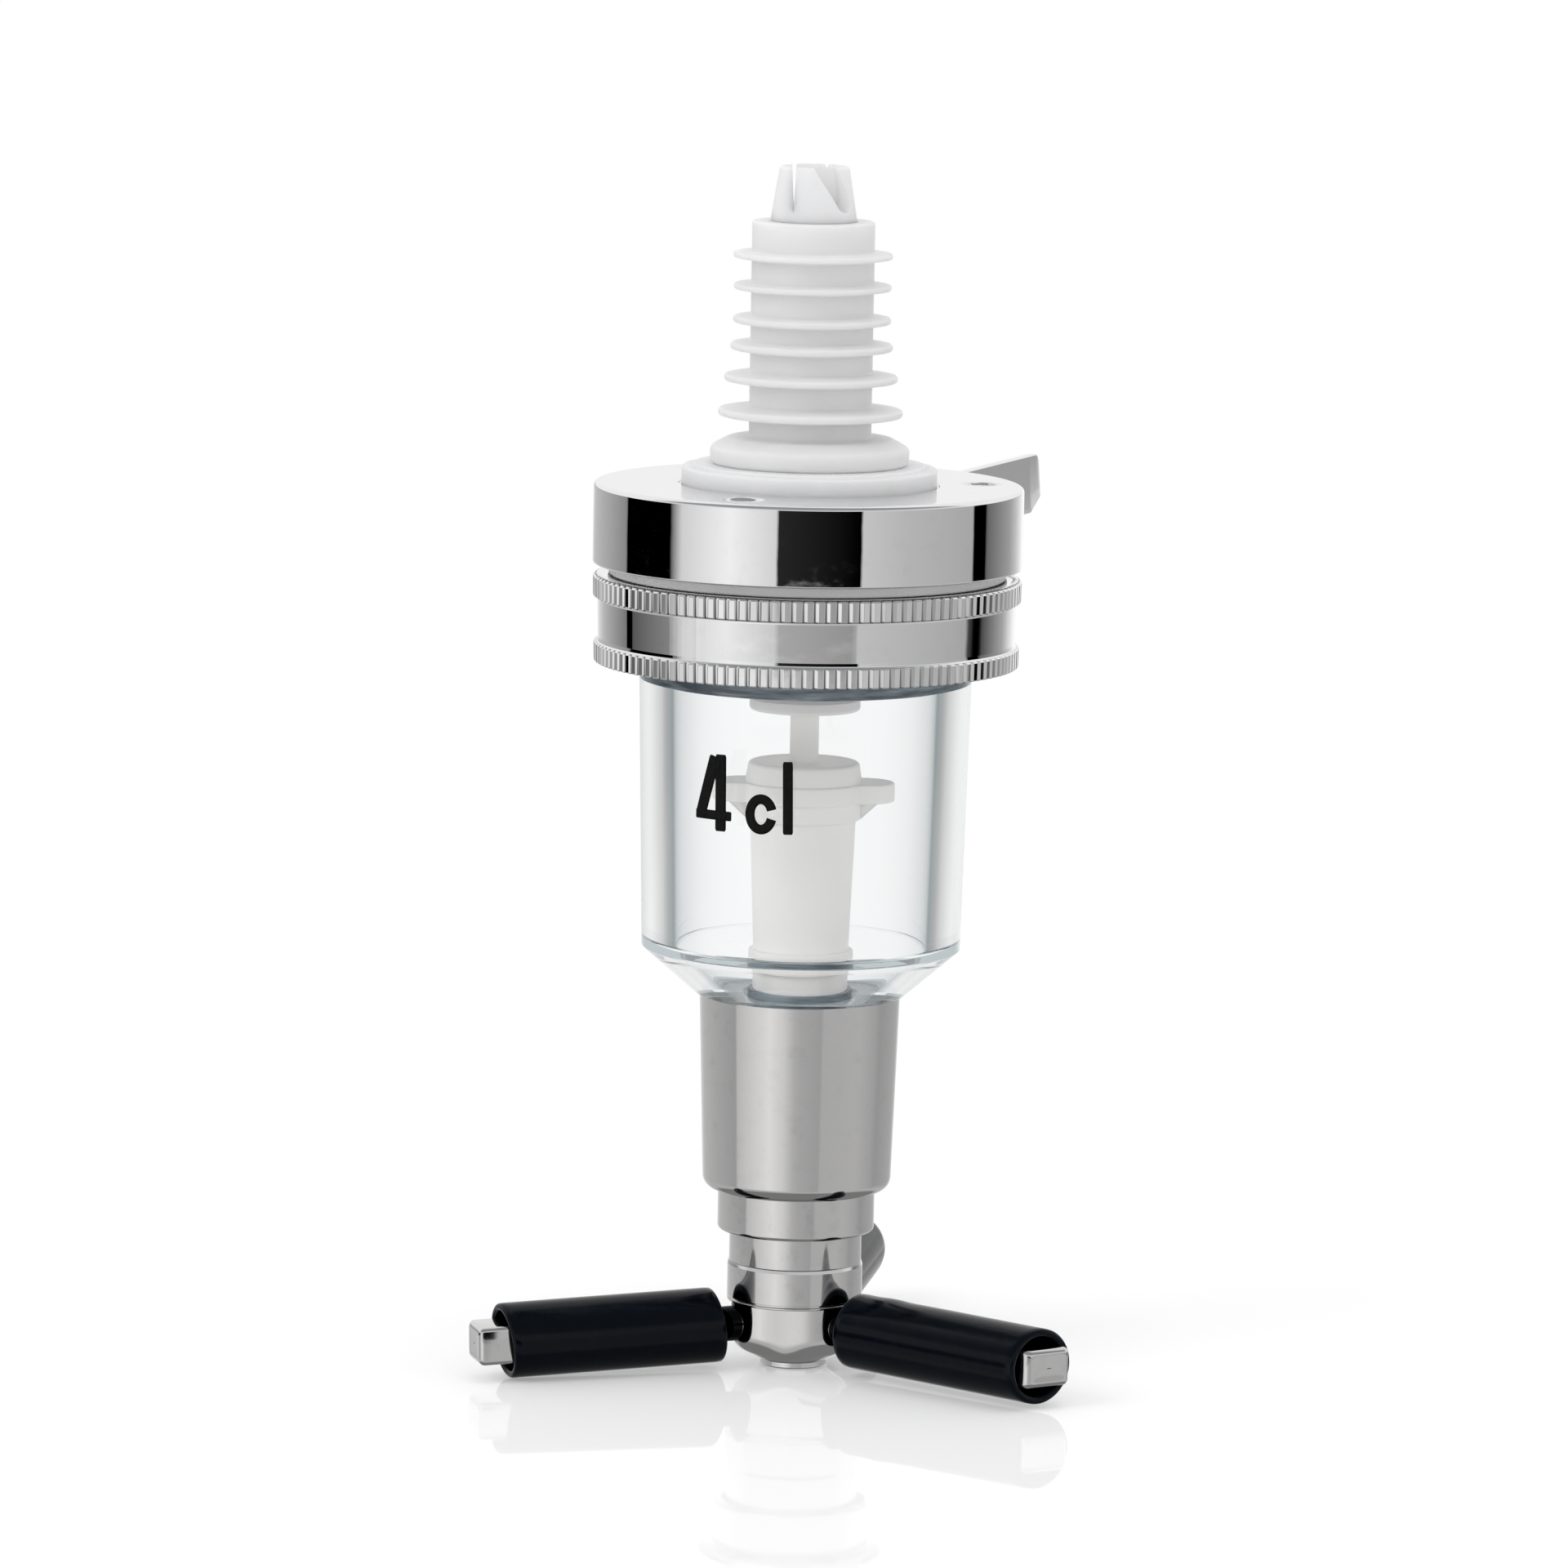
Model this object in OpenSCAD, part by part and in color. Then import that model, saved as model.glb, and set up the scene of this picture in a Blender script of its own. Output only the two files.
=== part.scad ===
// Liquor optic dispenser: a spring-loaded spirit measure, standing on its spout, cork up.
// Millimetres. +Z is up the axis, the origin is the bottom centre of the spout tip, -Y is the front.

/* [Spout and hub] */
// Outer radius of the spout tip
tip_r = 4.6; // [4:0.1:5.2]
// Length of the spout tip
tip_l = 9; // [7:0.5:10]
// Length of tip that shows under the hub
tip_show = 0.75; // [0.4:0.05:1.5]
// Radius of the pouring bore
outlet_r = 3; // [2.4:0.1:3.3]
// Radius of the lever hub
hub_r = 8.8; // [8.2:0.1:10]
// Height of the lever hub
hub_h = 8.2; // [7.4:0.1:9.5]
// Slope of the hub's bowl-shaped underside, in degrees
bowl_angle = 21; // [15:1:27]
// Radius of the round between bowl and hub wall
bowl_round = 1.8; // [1:0.1:2.2]
// Thickness of the hub's floor round the tip
hub_floor = 1.85; // [1.5:0.05:2.4]
// Height of the nut above the hub
hub_nut_h = 5.45; // [4.5:0.05:7]
// How far the hub nut stands out from the spout neck
hub_nut_proud = 0.2; // [0.1:0.05:0.6]
// Width and depth of the groove turned in the hub nut
groove_w = 0.3; // [0.2:0.05:0.5]
// Radius of the sliding spout neck
neck_r = 9; // [8.6:0.1:9.6]
// Radius of the neck's threaded lower end
neck_spigot_r = 6.2; // [5.8:0.1:6.6]

/* [Lever arms and grips] */
// Distance of the bar ends from the axis
arm_reach = 45.6; // [40:0.2:52]
// Width of an arm bar
arm_w = 6.6; // [5.6:0.1:7]
// Height of an arm bar
arm_h = 5.2; // [4.4:0.1:5.4]
// Rounding of the bar's long edges
arm_edge = 0.6; // [0.3:0.1:0.9]
// Radius of the round root that joins a bar to the hub
arm_root_r = 2.4; // [2:0.1:2.4]
// How far the root reaches into the grip sleeve
arm_root_cover = 1; // [0.5:0.1:2]
// Height of the bars' centre line where it crosses the axis
arm_z = 6.15; // [6:0.05:6.6]
// Droop of the left arm, in degrees
left_droop = 1.28; // [-2.2:0.02:1.4]
// Droop of the right arm, in degrees
right_droop = 0.5; // [-2.2:0.02:1.4]
// Droop of the rear arm, in degrees
rear_droop = -1.9; // [-2.2:0.02:1.4]
// Outer radius of a grip sleeve
grip_r = 5.05; // [4.9:0.05:5.1]
// Length of the left grip sleeve
left_grip_l = 31.4; // [24:0.2:34.4]
// Length of the right grip sleeve
right_grip_l = 32.4; // [24:0.2:34.4]
// Length of the rear grip sleeve
rear_grip_l = 34.4; // [24:0.2:34.4]
// Gap between the hub and a grip sleeve
grip_gap = 2; // [1:0.1:3]
// Clearance between a bar's edges and its grip sleeve
grip_clear = 0.06; // [0.03:0.01:0.1]

/* [Guide nut and lower sleeve] */
// Travel of the lever
stroke = 4.2; // [3.4:0.1:5]
// Gap left above the hub nut at full travel
stroke_spare = 0.15; // [0.1:0.05:0.6]
// Height of the guide nut that shows
guide_nut_h = 5.65; // [4.5:0.05:7]
// Height of the guide nut's threaded spigot
guide_spigot_h = 4; // [3.4:0.1:5]
// Wall of the guide nut's spigot
guide_wall = 0.76; // [0.6:0.02:1.2]
// How far the guide nut's shoulder stands out from its spigot
guide_shoulder = 0.46; // [0.3:0.02:0.54]
// Rounding of the guide nut's lower edge
guide_edge = 0.5; // [0.2:0.05:0.8]
// Wall of the guide bush
bush_wall = 0.4; // [0.3:0.02:0.6]
// Running clearance between neck and guide bush
bush_clear = 0.04; // [0.02:0.01:0.08]
// Height of the lower sleeve
sleeve_h = 26.8; // [26:0.1:32]
// Thickness of the sleeve's floor
sleeve_floor = 2.5; // [2:0.1:3.2]
// Wall of the sleeve
sleeve_wall = 0.95; // [0.7:0.05:1.4]
// Rounding of the sleeve's lower edge
sleeve_edge = 2; // [1:0.1:2.4]
// Flat under the sleeve that the guide nut bears on
sleeve_seat_w = 0.55; // [0.5:0.05:1.2]
// How much wider the sleeve is at its top
sleeve_flare = 0.85; // [0.3:0.05:1.1]
// Step in the sleeve's bore that carries the outlet seat
sleeve_step = 0.6; // [0.4:0.05:0.8]
// Height of the stop flange on the neck
stop_h = 2; // [1.4:0.1:2.6]
// Gap between stop flange and sleeve
stop_gap = 0.4; // [0.3:0.05:0.6]
// Height of the neck's cup above the stop flange
cup_h = 7.6; // [6:0.1:8.4]
// Wall of the neck's cup
cup_wall = 1.4; // [1:0.1:1.8]
// Depth of the cup below the stop flange
cup_depth = 6.4; // [5.6:0.1:7.4]
// Gap above the cup at full travel
cup_gap = 0.8; // [0.4:0.1:1.4]
// Radius of the spring's wire
spring_wire_r = 0.6; // [0.4:0.05:0.7]
// Turns of the spring
spring_turns = 5; // [4:1:6]

/* [Outlet valve] */
// Thickness of the outlet seat
seat_h = 3; // [2.4:0.1:3.6]
// Length of the outlet seat's nozzle
seat_nozzle_l = 10; // [8:0.1:11]
// Wall of the outlet seat's nozzle
seat_nozzle_wall = 1; // [0.7:0.05:1.2]
// Gap between that nozzle and the neck's cup
seat_nozzle_gap = 0.4; // [0.3:0.05:0.6]
// Width of the land that the outlet seal closes on
seat_land = 2.3; // [1.8:0.1:2.6]
// Thickness of the outlet seal
outlet_seal_h = 1.5; // [1:0.1:2]
// Gap between the outlet seal and the chamber's throat
outlet_seal_gap = 0.6; // [0.4:0.05:1]
// Radius of the plunger stem
stem_r = 2; // [1.6:0.1:2.4]
// Thickness of the stem's three wings
wing_t = 1.2; // [0.8:0.1:1.6]
// Height of the stem's three wings
wing_h = 4; // [3:0.1:5]

/* [Chamber] */
// Thickness of the washer between sleeve and chamber
sleeve_seal_h = 1.2; // [0.8:0.1:1.6]
// Outer radius at the chamber's lower corner
chamber_r = 21.6; // [20.6:0.1:23]
// How much wider the chamber is at its top
chamber_draft = 0.95; // [0.3:0.05:1.2]
// Wall of the chamber
chamber_wall = 4.5; // [3.6:0.1:5]
// Height of the chamber's conical foot
chamber_cone_h = 6.5; // [5.6:0.1:7.4]
// Height of the chamber's straight wall up to its flange
chamber_wall_h = 40.7; // [36:0.1:46]
// Width of the ledge by which the chamber covers the sleeve's rim
chamber_ledge = 0.5; // [0.3:0.05:0.8]
// Height of the inside corner over the outside one
chamber_floor_rise = 0.6; // [0.3:0.1:1]
// Radius of the chamber's throat
throat_r = 7.5; // [7.3:0.1:8]
// Height of the throat over the chamber's foot
throat_rise = 1.4; // [0.8:0.1:2]
// Width of the chamber's clamped flange
chamber_flange_w = 2.45; // [2:0.05:3]
// Thickness of the chamber's clamped flange
chamber_flange_h = 2.5; // [2:0.1:3]
// Thickness of the chamber seal
chamber_seal_h = 1.2; // [0.8:0.1:1.6]
// Depth of the chamber seal's skirt inside the chamber
seal_skirt_h = 7; // [5:0.1:8]
// Wall of the chamber seal's skirt
seal_skirt_wall = 2.5; // [1.5:0.1:3.5]
// Gap between the seal's skirt and the chamber's wall
seal_skirt_gap = 0.05; // [0.03:0.01:0.15]

/* [Plunger and inlet valve] */
// Length of the plunger's plug below its collar
plug_l = 7; // [6:0.1:7.6]
// Radius of the plunger tube at its lower end
tube_low_r = 6.45; // [6.1:0.05:6.7]
// Radius of the plunger tube at its upper end
tube_top_r = 7.3; // [7:0.05:7.5]
// Length of the plunger tube above its collar
tube_l = 23.1; // [20:0.1:25]
// Wall of the plunger tube
tube_wall = 1.25; // [0.9:0.05:1.5]
// Thickness of the plunger's floor
tube_floor = 3; // [2.5:0.1:4]
// Radius of the plunger's base collar
base_collar_r = 7.1; // [6.9:0.05:7.2]
// Height of the plunger's base collar
base_collar_h = 1.6; // [1.2:0.1:2]
// Height of the vent cap's skirt below its wings
vent_skirt_h = 2.5; // [1.8:0.1:3.2]
// Wall of the vent cap's skirt
vent_skirt_wall = 0.45; // [0.35:0.05:0.7]
// How far the tube reaches into the vent cap's flange
tube_cover = 1.3; // [0.8:0.1:1.6]
// Thickness of the vent cap's winged flange
vent_flange_h = 2.3; // [1.8:0.1:2.8]
// Radius of the vent cap's flange
vent_flange_r = 8.3; // [8.2:0.05:9]
// Reach of the vent cap's wings
vent_wing_reach = 12.4; // [11.4:0.1:13]
// Radius of the round end of a wing
vent_wing_r = 3.9; // [3:0.1:4.5]
// Height of the vent cap's dome
vent_dome_h = 2.6; // [2:0.1:3.2]
// Radius of the dome at its foot
vent_dome_r = 7.9; // [7.6:0.05:8.1]
// How much narrower the dome is at its top
vent_dome_taper = 0.4; // [0.2:0.05:0.8]
// Depth of the rod's socket in the dome
rod_socket = 1.9; // [1.4:0.1:2.2]
// Radius of the valve rod
rod_r = 1.87; // [1.5:0.01:2.2]
// Length of rod between the dome and the valve disc
rod_l = 7; // [6:0.1:8.4]
// Radius of the inlet valve disc
valve_r = 7.5; // [7:0.1:8]
// Thickness of the inlet valve disc
valve_h = 2; // [1.6:0.1:2.4]
// Thickness of the inlet valve seal
valve_seal_h = 1; // [0.7:0.1:1.3]
// Gap between seal and inlet head at full travel
valve_gap = 0.05; // [0.03:0.01:0.1]

/* [Collar] */
// Height of the collar's lip under the chamber's flange
collar_lip_h = 2; // [1.6:0.1:2.4]
// Wall of the collar
collar_wall = 3; // [2.6:0.1:3.6]
// Height of the lower knurl
knurl_low_h = 2.65; // [2:0.05:3.2]
// Height of the upper knurl
knurl_top_h = 3.1; // [2.4:0.05:3.8]
// Height of the smooth band between the knurls
band_h = 6.05; // [5:0.05:7]
// How far the lower knurl stands out from the band
knurl_low_proud = 0.5; // [0.4:0.05:0.8]
// How far the upper knurl stands out from the band
knurl_top_proud = 0.7; // [0.5:0.05:1]
// Depth of the knurl's grooves
knurl_depth = 0.4; // [0.2:0.05:0.4]
// Teeth in each knurl
knurl_teeth = 120; // [90:1:144]
// Clearance of the chamber's flange in the collar
flange_clear = 0.2; // [0.1:0.05:0.4]

/* [Cap and bracket fork] */
// Thickness of the gasket under the cap
gasket_h = 1.5; // [1:0.1:2]
// How far the gasket lies back from the collar's band
gasket_inset = 1.4; // [1:0.1:1.8]
// Height of the cap
cap_h = 10.9; // [10:0.1:13]
// How far the cap stands out from the collar's band
cap_proud = 0.8; // [0.4:0.05:1.2]
// Wall of the cap
cap_wall = 4; // [3.6:0.1:4.6]
// Thickness of the cap's top
cap_top = 2.5; // [2.2:0.1:3]
// Rounding of the cap's top edge
cap_edge = 1.2; // [0.6:0.1:1.6]
// Depth of the recess for the seat flange
recess_h = 0.5; // [0.3:0.05:0.8]
// Gap round the seat flange in its recess
recess_gap = 0.4; // [0.2:0.05:0.6]
// Direction of the bracket fork, in degrees from +X
fork_angle = 78; // [60:1:120]
// Distance of the fork's ends from the axis
fork_reach = 55.7; // [48:0.1:60]
// Distance of a blade's outer face from the fork's centre line
fork_offset = 12.3; // [10:0.1:13.4]
// Thickness of a blade
blade_t = 2; // [1.6:0.1:2.6]
// Height of a blade
blade_h = 8.05; // [7:0.05:9]
// Drop of the blades' upper edges below the cap's top
blade_drop = 0.15; // [0.1:0.05:0.4]
// Rounding of a blade's upper corner
blade_round = 1.2; // [0.6:0.1:2]
// Length of the chamfer under a blade's end
blade_chamfer_l = 3.85; // [2:0.05:5]
// Height of the chamfer under a blade's end
blade_chamfer_h = 1.9; // [1:0.1:3]
// Fillet where a blade meets the cap
blade_fillet = 2.5; // [1.5:0.1:3]
// How far a fillet's end runs into the cap
fillet_sink = 0.15; // [0.1:0.05:0.3]
// Distance of the cap screws from the cap's side
screw_inset = 5.5; // [5:0.1:6]
// Radius of a screw's shank
screw_r = 1.2; // [0.9:0.05:1.4]
// Radius of a screw's head
screw_head_r = 1.7; // [1.6:0.05:2]
// Height of a screw's head
screw_head_h = 1.2; // [0.8:0.1:1.4]
// Radius of the dimple round a screw
dimple_r = 3; // [2.4:0.1:3.3]
// Depth of the dimple round a screw
dimple_h = 0.6; // [0.3:0.05:0.8]
// Width of a screw's slot
slot_w = 0.5; // [0.3:0.05:0.7]
// Depth of a screw's slot
slot_d = 0.4; // [0.2:0.05:0.6]

/* [Inlet head, cork and nozzle] */
// Radius of the inlet head's neck
head_neck_r = 9; // [8.2:0.1:10]
// Radius of the inlet head's boss in the chamber
head_boss_r = 11; // [10:0.1:13]
// Radius of the inlet port
port_r = 4.6; // [4.2:0.1:5]
// Radius of the seat flange
seat_flange_r = 17.2; // [15:0.1:18]
// Height of the seat flange above the cap
seat_flange_h = 2.7; // [2:0.1:3.4]
// Width and depth of the step in the seat flange
seat_flange_step = 1.5; // [1:0.1:2]
// Depth of the step in the seat flange
seat_flange_step_h = 0.4; // [0.2:0.05:0.8]
// Radius of the cork's body
cork_r = 8.25; // [7.6:0.05:9]
// Height of the cork
cork_h = 32.7; // [30:0.1:36]
// Chamfer on the cork's top
cork_chamfer = 0.3; // [0.1:0.05:0.8]
// Radius of the cork's base flange
cork_flange_r = 13.4; // [12.6:0.1:14.6]
// Height of the cork's base flange
cork_flange_h = 3.6; // [3:0.1:4]
// Height of the lowest fin over the cork's base
fin_low = 6.95; // [6.4:0.05:7.4]
// Distance between the lowest and the highest fin
fin_span = 21.15; // [19:0.05:22.6]
// Radius of the widest fin
fin_r = 12.4; // [11.6:0.1:13]
// Thickness of the widest fin at its rim
fin_t = 1.6; // [1.2:0.05:1.8]
// Outer radius of the inlet nozzle's tube
nozzle_r = 5; // [4.6:0.1:5.4]
// Bore radius of the inlet nozzle
nozzle_bore_r = 3.4; // [3:0.1:3.7]
// Radius of the nose at its foot
nose_r = 5.85; // [5.6:0.05:6.4]
// Radius of the nose below its rounded upper edge
nose_top_r = 4.75; // [4.5:0.05:5]
// Rounding of the nose's upper edge
nose_round = 0.6; // [0.3:0.05:0.8]
// Height of the nose
nose_h = 7.4; // [6.4:0.1:8.4]
// Wall of the nose at its top
nose_wall = 1.1; // [0.9:0.05:1.3]
// Width of the nose's cuts at its top
nose_cut_w = 0.6; // [0.4:0.05:0.8]
// Distance of the deep cut from the axis
nose_cut_offset = 2.75; // [2.4:0.05:3]
// Depth of the deep cut
nose_cut_h = 5.9; // [4:0.1:6.2]
// Distance of the shallow cut from the axis, on the other side
nose_notch_offset = 1.6; // [1.2:0.05:2]
// Depth of the shallow cut
nose_notch_h = 0.7; // [0.4:0.05:1]
// Radius of the nose's side port
nose_port_r = 1.5; // [1.2:0.05:1.8]
// Height of the side port's lower end over the cork
nose_port_h = 2.6; // [2.2:0.1:3]

/* [Hidden] */

// Faces on a full circle, and points on a quarter round
$fn = 96;
arc_steps = 5;
// Overrun of every cut
cut = 0.5;

// Heights of the lever's pieces at rest
hub_z = tip_show;
hub_nut_z = hub_z + hub_h;
neck_z = hub_nut_z + hub_nut_h;
// Heights of the sleeve's pieces
guide_z = neck_z + stroke + stroke_spare;
sleeve_z = guide_z + guide_nut_h;
stop_z = sleeve_z + guide_spigot_h;
cup_z = stop_z + stop_h;
cup_top_z = cup_z + cup_h;
cup_floor_z = stop_z - cup_depth;
seat_z = cup_top_z + stroke + cup_gap;
seat_top_z = seat_z + seat_h;
foot_z = seat_top_z + sleeve_seal_h;
chamber_z = sleeve_z + sleeve_h;
// Heights of the chamber and what is inside it
corner_z = chamber_z + chamber_cone_h;
flange_z = corner_z + chamber_wall_h;
flange_top_z = flange_z + chamber_flange_h;
plug_z = seat_top_z + outlet_seal_h;
base_collar_z = plug_z + plug_l;
tube_z = base_collar_z + base_collar_h;
tube_top_z = tube_z + tube_l;
vent_flange_z = tube_top_z - tube_cover;
vent_skirt_z = vent_flange_z - vent_skirt_h;
vent_dome_z = vent_flange_z + vent_flange_h;
vent_top_z = vent_dome_z + vent_dome_h;
valve_z = vent_top_z + rod_l;
valve_seal_z = valve_z + valve_h;
inlet_z = valve_seal_z + valve_seal_h + stroke + valve_gap;
// Heights of the collar, the cap and the cork
head_z = flange_top_z + chamber_seal_h;
collar_z = flange_z - collar_lip_h;
band_z = collar_z + knurl_low_h;
knurl_top_z = band_z + band_h;
collar_top_z = knurl_top_z + knurl_top_h;
cap_z = collar_top_z + gasket_h;
cap_top_z = cap_z + cap_h;
blade_top_z = cap_top_z - blade_drop;
blade_z = blade_top_z - blade_h;
cork_z = cap_top_z + seat_flange_h;
cork_top_z = cork_z + cork_h;

// Radii that follow each other from the neck outwards
bush_r = neck_r + bush_clear + bush_wall;
guide_spigot_r = bush_r + guide_wall;
guide_nut_r = guide_spigot_r + guide_shoulder;
sleeve_low_r = guide_spigot_r + sleeve_seat_w + sleeve_edge;
sleeve_top_r = sleeve_low_r + sleeve_flare;
sleeve_bore_r = sleeve_low_r - sleeve_wall;
sleeve_step_r = sleeve_bore_r + sleeve_step;
stop_r = sleeve_bore_r - stop_gap;
outlet_seal_r = throat_r - outlet_seal_gap;
seat_hole_r = outlet_seal_r - seat_land;
seat_nozzle_r = seat_hole_r + seat_nozzle_wall;
cup_bore_r = seat_nozzle_r + seat_nozzle_gap;
cup_r = cup_bore_r + cup_wall;
chamber_foot_r = sleeve_top_r + chamber_ledge;
chamber_top_r = chamber_r + chamber_draft;
chamber_flange_r = chamber_top_r + chamber_flange_w;
collar_bore_r = chamber_flange_r + flange_clear;
collar_lip_r = chamber_top_r + flange_clear;
band_r = collar_bore_r + collar_wall;
cap_r = band_r + cap_proud;
cap_cavity_r = cap_r - cap_wall;
screw_place_r = cap_r - screw_inset;
gasket_r = band_r - gasket_inset;
gasket_bore_r = screw_place_r - screw_inset + screw_head_r;

// The grip's bore clears the rounded edges of its bar
grip_bore_r = norm([arm_w / 2 - arm_edge, arm_h / 2 - arm_edge]) + arm_edge + grip_clear;
grip_start = hub_r + grip_gap;
// Left, right and rear arm
ARM_ANGLES = [-150, -30, 90];
arm_droops = [left_droop, right_droop, rear_droop];
grip_lengths = [left_grip_l, right_grip_l, rear_grip_l];

// Fins of the cork from the lowest to the highest: place along the span, radius and thickness
fin_place_shares = [0, 0.22, 0.42, 0.59, 0.8, 1];
fin_r_shares = [1, 0.94, 0.88, 0.855, 0.855, 0.863];
fin_t_shares = [1, 0.9, 0.88, 0.8, 0.7, 0.7];
// Width of a fin's root against its rim
fin_root_share = 1.25;

// Knurl tooth: shares of the pitch taken by its groove and by each flank
knurl_groove_share = 0.28;
knurl_flank_share = 0.12;

// Points on a round from angle a0 to a1
function arc(x, z, r, a0, a1) = [
    for (i = [0 : arc_steps]) let (a = a0 + (a1 - a0) * i / arc_steps) [x + r * cos(a), z + r * sin(a)]
];

// Turned body from an outline of radius and height
module turned(points) rotate_extrude() polygon(points);

// Tube between two heights
module tube(outer_r, inner_r, low, high) difference() {
    translate([0, 0, low]) cylinder(r = outer_r, h = high - low);
    translate([0, 0, low - cut]) cylinder(r = inner_r, h = high - low + 2 * cut);
}

// Copies at the cap screws' places
module at_screws() for (i = [0 : 2])
    rotate([0, 0, fork_angle + 60 + 120 * i]) translate([screw_place_r, 0, 0]) children();

// Frame of one lever arm: +X runs out along the drooping bar
module at_arm(i) rotate([0, 0, ARM_ANGLES[i]]) translate([0, 0, arm_z]) rotate([0, arm_droops[i], 0]) children();

module bottle_cork() color([0.93, 0.93, 0.91]) difference() {
    rotate_extrude() {
        // body with a chamfered top
        polygon([
            [0, cork_z], [cork_r, cork_z], [cork_r, cork_top_z - cork_chamfer],
            [cork_r - cork_chamfer, cork_top_z], [0, cork_top_z]
        ]);
        // base flange with a full round rim
        translate([0, cork_z]) square([cork_flange_r - cork_flange_h / 2, cork_flange_h]);
        translate([cork_flange_r - cork_flange_h / 2, cork_z + cork_flange_h / 2]) circle(r = cork_flange_h / 2);
        // sealing fins, thicker at the root and round at the rim
        for (i = [0 : len(fin_place_shares) - 1])
            let (z = cork_z + fin_low + fin_span * fin_place_shares[i],
                 t = fin_t * fin_t_shares[i] / 2,
                 x = fin_r * fin_r_shares[i] - t) {
                polygon([
                    [0, z - t * fin_root_share], [cork_r, z - t * fin_root_share], [x, z - t],
                    [x, z + t], [cork_r, z + t * fin_root_share], [0, z + t * fin_root_share]
                ]);
                translate([x, z]) circle(r = t, $fn = 32);
            }
    }
    translate([0, 0, cork_z - cut]) cylinder(r = nozzle_r, h = cork_h + 2 * cut);
}

// Turn of the nose's cuts about the axis; turn, twist and lean of its side port
nose_cut_angle = 10;
nose_port_angle = -31;
nose_port_twist = 24;
nose_port_lean = -11;

// A cut narrows to a point and runs through both walls of the nose
module nose_cut(offset, depth) rotate([0, 0, nose_cut_angle]) translate([offset, 0, cork_top_z + nose_h])
    rotate([90, 0, 0]) linear_extrude(2 * (nose_r + cut), center = true)
        polygon([[0, -depth], [nose_cut_w / 2, 0], [nose_cut_w / 2, cut], [-nose_cut_w / 2, cut], [-nose_cut_w / 2, 0]]);

module inlet_nozzle() color([0.92, 0.92, 0.91]) difference() {
    turned(concat(
        [[nozzle_bore_r, cap_z], [nozzle_r, cap_z], [nozzle_r, cork_top_z], [nose_r, cork_top_z]],
        arc(nose_top_r - nose_round, cork_top_z + nose_h - nose_round, nose_round, 0, 90),
        [[nose_top_r - nose_wall, cork_top_z + nose_h], [nozzle_bore_r, cork_top_z]]
    ));
    nose_cut(-nose_cut_offset, nose_cut_h);
    nose_cut(nose_notch_offset, nose_notch_h);
    // slanted side port, open at the top
    rotate([0, 0, nose_port_angle]) translate([nose_r - nose_wall, 0, cork_top_z + nose_port_h])
        rotate([nose_port_twist, nose_port_lean, 0]) {
            cylinder(r = nose_port_r, h = 2 * nose_h, $fn = 48);
            sphere(r = nose_port_r, $fn = 48);
        }
}

module seat_flange() color([0.95, 0.95, 0.94]) turned([
    [head_neck_r, cap_top_z - recess_h], [seat_flange_r, cap_top_z - recess_h],
    [seat_flange_r, cork_z - seat_flange_step_h], [seat_flange_r - seat_flange_step, cork_z - seat_flange_step_h],
    [seat_flange_r - seat_flange_step, cork_z], [head_neck_r, cork_z]
]);

// One blade is the part that its side outline and its plan share: X runs out along the fork
module blade_side() polygon(concat(
    [[0, blade_z], [fork_reach - blade_chamfer_l, blade_z], [fork_reach, blade_z + blade_chamfer_h]],
    arc(fork_reach - blade_round, blade_top_z - blade_round, blade_round, 0, 90),
    [[0, blade_top_z]]
));

// The plan has a fillet on each side of the root, which starts inside the cap's wall
module blade_plan()
    let (reach = cap_r - fillet_sink + blade_fillet,
         outer_y = fork_offset + blade_fillet, outer_x = sqrt(reach * reach - outer_y * outer_y),
         inner_y = fork_offset - blade_t - blade_fillet, inner_x = sqrt(reach * reach - inner_y * inner_y),
         root_r = cap_r - cap_wall / 2)
        polygon(concat(
            arc(outer_x, outer_y, blade_fillet, atan2(outer_y, outer_x) - 180, -90),
            [[fork_reach + cut, fork_offset], [fork_reach + cut, fork_offset - blade_t]],
            arc(inner_x, inner_y, blade_fillet, 90, atan2(inner_y, inner_x) + 180),
            [[sqrt(root_r * root_r - inner_y * inner_y), inner_y], [sqrt(root_r * root_r - outer_y * outer_y), outer_y]]
        ));

module blade() intersection() {
    translate([0, cap_r, 0]) rotate([90, 0, 0]) linear_extrude(cap_r) blade_side();
    translate([0, 0, blade_z - cut]) linear_extrude(blade_h + 2 * cut) blade_plan();
}

module top_cap() color([0.8, 0.8, 0.8]) difference() {
    union() {
        difference() {
            turned(concat(
                [[0, cap_z], [cap_r, cap_z]],
                arc(cap_r - cap_edge, cap_top_z - cap_edge, cap_edge, 0, 90),
                [[0, cap_top_z]]
            ));
            // hollow under the top, with a boss left round each screw
            difference() {
                translate([0, 0, cap_z - cut]) cylinder(r = cap_cavity_r, h = cap_h - cap_top + cut);
                at_screws() translate([0, 0, cap_z - 2 * cut]) cylinder(r = dimple_r, h = cap_h);
            }
            translate([0, 0, cap_z - cut]) cylinder(r = head_neck_r, h = cap_h + 2 * cut);
            translate([0, 0, cap_top_z - recess_h]) cylinder(r = seat_flange_r + recess_gap, h = recess_h + cut);
        }
        // bracket fork
        rotate([0, 0, fork_angle]) for (side = [0, 1]) mirror([0, side, 0]) blade();
    }
    at_screws() {
        translate([0, 0, cap_z - cut]) cylinder(r = screw_r, h = cap_h + 2 * cut);
        translate([0, 0, cap_top_z - dimple_h - screw_head_h]) cylinder(r = screw_head_r, h = screw_head_h + cut);
        translate([0, 0, cap_top_z - dimple_h])
            cylinder(r1 = screw_head_r, r2 = dimple_r + (dimple_r - screw_head_r) * cut / dimple_h, h = dimple_h + cut);
    }
}

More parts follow.
